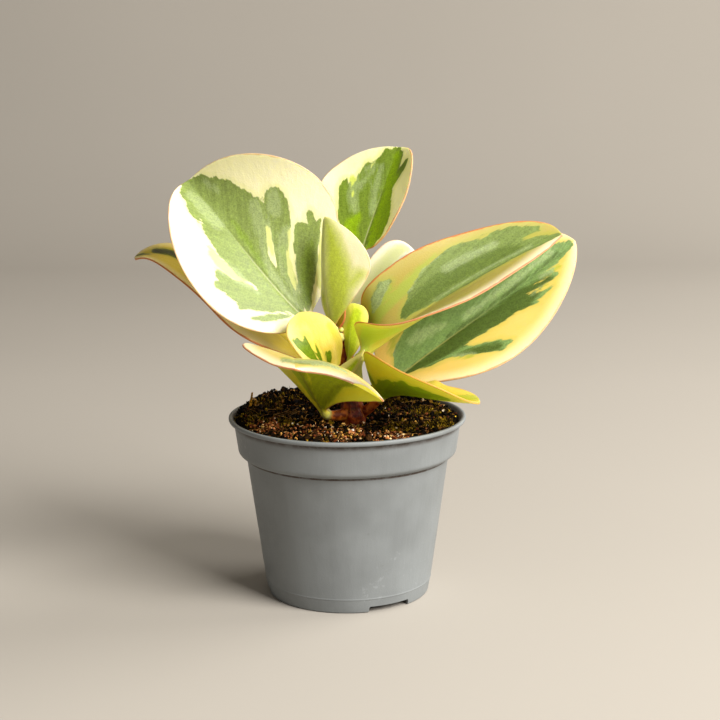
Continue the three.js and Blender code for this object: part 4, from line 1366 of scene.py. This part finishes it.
class PEPEROMIA_OT_mix(bpy.types.Operator):
    """Adds the potting mix: a rough bed with crumbs, bark, grit, strands and moss on it"""
    bl_idname = "peperomia.add_mix"
    bl_label = "Add Potting Mix"

    def execute(self, context):
        settings = context.scene.peperomia.mix
        rng = random.Random(settings.seed)
        peat, moss = settings.peat, settings.moss
        browns = [tint(peat, 0.2), tint(peat, 0.7), linear(66, 40, 12), linear(150, 108, 36)]
        # The bed under the crumbs is peat darkened to near black: painted shade in the gaps between the
        # crumbs, over the peat's own dark tone.
        bed = grain_material("peat_bed_and_gap_shade", [tint(peat, 0.06), tint(peat, 0.25), linear(26, 18, 6)])
        new_piece("mix_bed", bed_mesh(), bed, "potting_mix", "potting_mix")
        pale = [
            linear(84, 40, 18), linear(136, 76, 38), linear(182, 116, 72), linear(206, 158, 70),
            linear(236, 220, 196),
        ]
        places = iter(FOUND_BITS)
        families = [
            ("mix_clods", 300, crumb_maker(0.8, 1.8, -0.3, flat=0.35, fine=2), browns[:3]),
            ("mix_crumbs", settings.crumbs, crumb_maker(0.3, 1.0), browns),
            ("mix_bark", 170, bark_maker, [linear(24, 13, 5), linear(60, 36, 15), linear(128, 84, 40)]),
            ("mix_grit", 1150, crumb_maker(0.25, 0.75, 0.7, patches=PALE_PATCHES), pale),
            ("mix_moss_bits", 1400, crumb_maker(0.25, 0.75, 0.5, flat=0.4, patches=MOSS_PATCHES),
             [tint(moss, 0.03), tint(moss, 0.15), tint(moss, 1.1), linear(196, 160, 44)]),
            ("mix_moss", settings.tufts, tuft_maker, [tint(moss, 0.03), tint(moss, 0.15), tint(moss, 2.4)]),
            ("mix_fibres", 190, fibre_maker,
             [linear(60, 38, 18), linear(130, 90, 46), linear(176, 136, 80)]),
            ("mix_found_bits", len(FOUND_BITS), lambda bm, rng: found_bit(bm, rng, *next(places)),
             [linear(46, 32, 18), linear(200, 146, 44), linear(240, 232, 220)]),
        ]
        for name, count, make, colors in families:
            mesh = scatter(name, count, rng, make)
            smooth = name == "mix_fibres"
            new_piece(name, mesh, grain_material(name, colors), "potting_mix", smooth=smooth)
        return {"FINISHED"}


class PEPEROMIA_OT_stem(bpy.types.Operator):
    """Adds the knobbly reddish stem"""
    bl_idname = "peperomia.add_stem"
    bl_label = "Add Stem"

    def execute(self, context):
        material = stem_material(context.scene.peperomia.plant)
        new_piece("stem_shoot", stem_mesh(), material, "stem_skin", "stem")
        return {"FINISHED"}


class PEPEROMIA_OT_leaves(bpy.types.Operator):
    """Adds every leaf, each with its stalk and its own markings"""
    bl_idname = "peperomia.add_leaves"
    bl_label = "Add Leaves"

    def execute(self, context):
        plant = context.scene.peperomia.plant
        for name, leaf in LEAVES.items():
            mesh = leaf_mesh(name, leaf, plant.thickness / MM)
            material = leaf_material(f"leaf_{name}_skin", leaf, plant)
            slot = "leaf_young" if name in YOUNG else "leaf_variegated"
            new_piece(f"{name}_leaf", mesh, material, slot, f"leaf_{name}")
        return {"FINISHED"}


CAMERA_PLACE = (0, -601.7, 208.3)  # millimetres from the pot's axis
CAMERA_PITCH = 11.19  # degrees down
CAMERA_YAW = 0.47  # degrees to the right
CAMERA_ROLL = -0.33
CAMERA_LENS = 81.25  # millimetres, as all of the camera's own sizes are
SENSOR_WIDTH = 36
# The floor and the lights are in metres. The floor lies a hair under the pot's foot.
FLOOR_GAP = 0.0002
LIGHT_DISTANCE, LIGHT_CENTRE = 1.5, 0.09
LIGHT_SIZE, LIGHT_AIM = 0.9, 0.1
FLOOR_FRONT, FLOOR_BACK, FLOOR_WIDTH = -2.0, 0.9, 5.0
SWEEP_RADIUS, SWEEP_TOP = 0.5, 2.2


def around(bearing, height):
    """A place on the lights' sphere: degrees from the front towards the right, and degrees up."""
    flat = LIGHT_DISTANCE * math.cos(math.radians(height))
    turn = math.radians(bearing)
    up = LIGHT_CENTRE + LIGHT_DISTANCE * math.sin(math.radians(height))
    return Vector((flat * math.sin(turn), -flat * math.cos(turn), up))


def softbox(name, place, power, color):
    """A square softbox at a place, turned to the middle of the plant."""
    light = bpy.data.lights.new(name, "AREA")
    light.shape, light.size, light.size_y = "RECTANGLE", LIGHT_SIZE, LIGHT_SIZE
    light.energy, light.color = power, color
    item = new_object(name, light)
    item.location = place
    item.rotation_euler = (Vector((0, 0, LIGHT_AIM)) - place).to_track_quat("-Z", "Y").to_euler()


def floor_mesh():
    """A flat floor that sweeps up behind the plant."""
    bm = bmesh.new()
    profile = [(FLOOR_FRONT, 0.0), (FLOOR_BACK, 0.0)]
    for a in np.linspace(0.1, math.pi / 2, 14):
        profile.append((FLOOR_BACK + SWEEP_RADIUS * math.sin(a), SWEEP_RADIUS - SWEEP_RADIUS * math.cos(a)))
    profile.append((FLOOR_BACK + SWEEP_RADIUS, SWEEP_TOP))
    corners = [bm.verts.new((-FLOOR_WIDTH / 2, y, z - FLOOR_GAP)) for y, z in profile]
    edges = [bm.edges.new(pair) for pair in zip(corners, corners[1:])]
    wide = bmesh.ops.extrude_edge_only(bm, edges=edges)
    moved_corners = [g for g in wide["geom"] if isinstance(g, bmesh.types.BMVert)]
    bmesh.ops.translate(bm, verts=moved_corners, vec=(FLOOR_WIDTH, 0, 0))
    bmesh.ops.recalc_face_normals(bm, faces=bm.faces)
    return finished_mesh(bm, "studio_floor")


def paper_material(color):
    material, tree, bsdf = new_material("studio_paper", {"IOR": 1.3})
    grain = mottle(object_place(tree), 3)
    finish_material(bsdf, blend(grain, tint(color, 0.96), tint(color, 1.04)), ramp(grain, 0, 1, 0.8, 0.95))
    return material


class PEPEROMIA_OT_stage(bpy.types.Operator):
    """Adds the pale floor with its sweep, the studio lights and the camera"""
    bl_idname = "peperomia.add_stage"
    bl_label = "Add Stage"

    def execute(self, context):
        settings = context.scene.peperomia.stage
        mesh = floor_mesh()
        dress(mesh, paper_material(settings.floor))
        floor = new_object("studio_floor", mesh)

        softbox("key_light", around(49, 35), settings.key, (1, 0.975, 0.935))
        softbox("back_light", around(110, 30), settings.back, (1, 0.97, 0.92))
        world = bpy.data.worlds.new("studio_air")
        world.use_nodes = True
        background = world.node_tree.nodes["Background"]
        set_inputs(background, {"Color": (1, 0.95, 0.88, 1), "Strength": settings.air})
        context.scene.world = world
        context.scene.view_settings.view_transform = "Standard"

        camera = bpy.data.cameras.new("camera")
        camera.sensor_width, camera.lens, camera.clip_start = SENSOR_WIDTH, CAMERA_LENS, 0.01
        item = new_object("camera", camera)
        turn = turned(math.radians(-CAMERA_YAW)) @ turned(math.radians(90 - CAMERA_PITCH), "X")
        item.matrix_world = moved(*metres(CAMERA_PLACE)) @ turn @ turned(math.radians(CAMERA_ROLL))
        context.scene.camera = item
        return {"FINISHED"}


class PEPEROMIA_PT_panel(bpy.types.Panel):
    """Lists the settings and the operators"""
    bl_idname = "PEPEROMIA_PT_panel"
    bl_label = "Potted Peperomia"
    bl_space_type = "VIEW_3D"
    bl_region_type = "UI"
    bl_category = "Peperomia"

    def draw(self, context):
        settings = context.scene.peperomia
        for title, group, operator in (
            ("Pot", settings.pot, PEPEROMIA_OT_pot), ("Potting mix", settings.mix, PEPEROMIA_OT_mix),
            ("Stem", None, PEPEROMIA_OT_stem), ("Leaves", settings.plant, PEPEROMIA_OT_leaves),
            ("Stage", settings.stage, PEPEROMIA_OT_stage),
        ):
            box = self.layout.box()
            box.label(text=title)
            for key in group.__annotations__ if group else ():
                box.prop(group, key)
            box.operator(operator.bl_idname)


CLASSES = (
    PlantSettings, PotSettings, MixSettings, StageSettings, PeperomiaSettings, PEPEROMIA_OT_pot,
    PEPEROMIA_OT_mix, PEPEROMIA_OT_stem, PEPEROMIA_OT_leaves, PEPEROMIA_OT_stage, PEPEROMIA_PT_panel,
)


def register():
    for item in CLASSES:
        bpy.utils.register_class(item)
    bpy.types.Scene.peperomia = PointerProperty(type=PeperomiaSettings)


def unregister():
    del bpy.types.Scene.peperomia
    for item in reversed(CLASSES):
        bpy.utils.unregister_class(item)


def main():
    register()
    bpy.ops.peperomia.add_stage()
    bpy.ops.peperomia.add_pot()
    bpy.ops.peperomia.add_mix()
    bpy.ops.peperomia.add_stem()
    bpy.ops.peperomia.add_leaves()


if __name__ == "__main__":
    main()
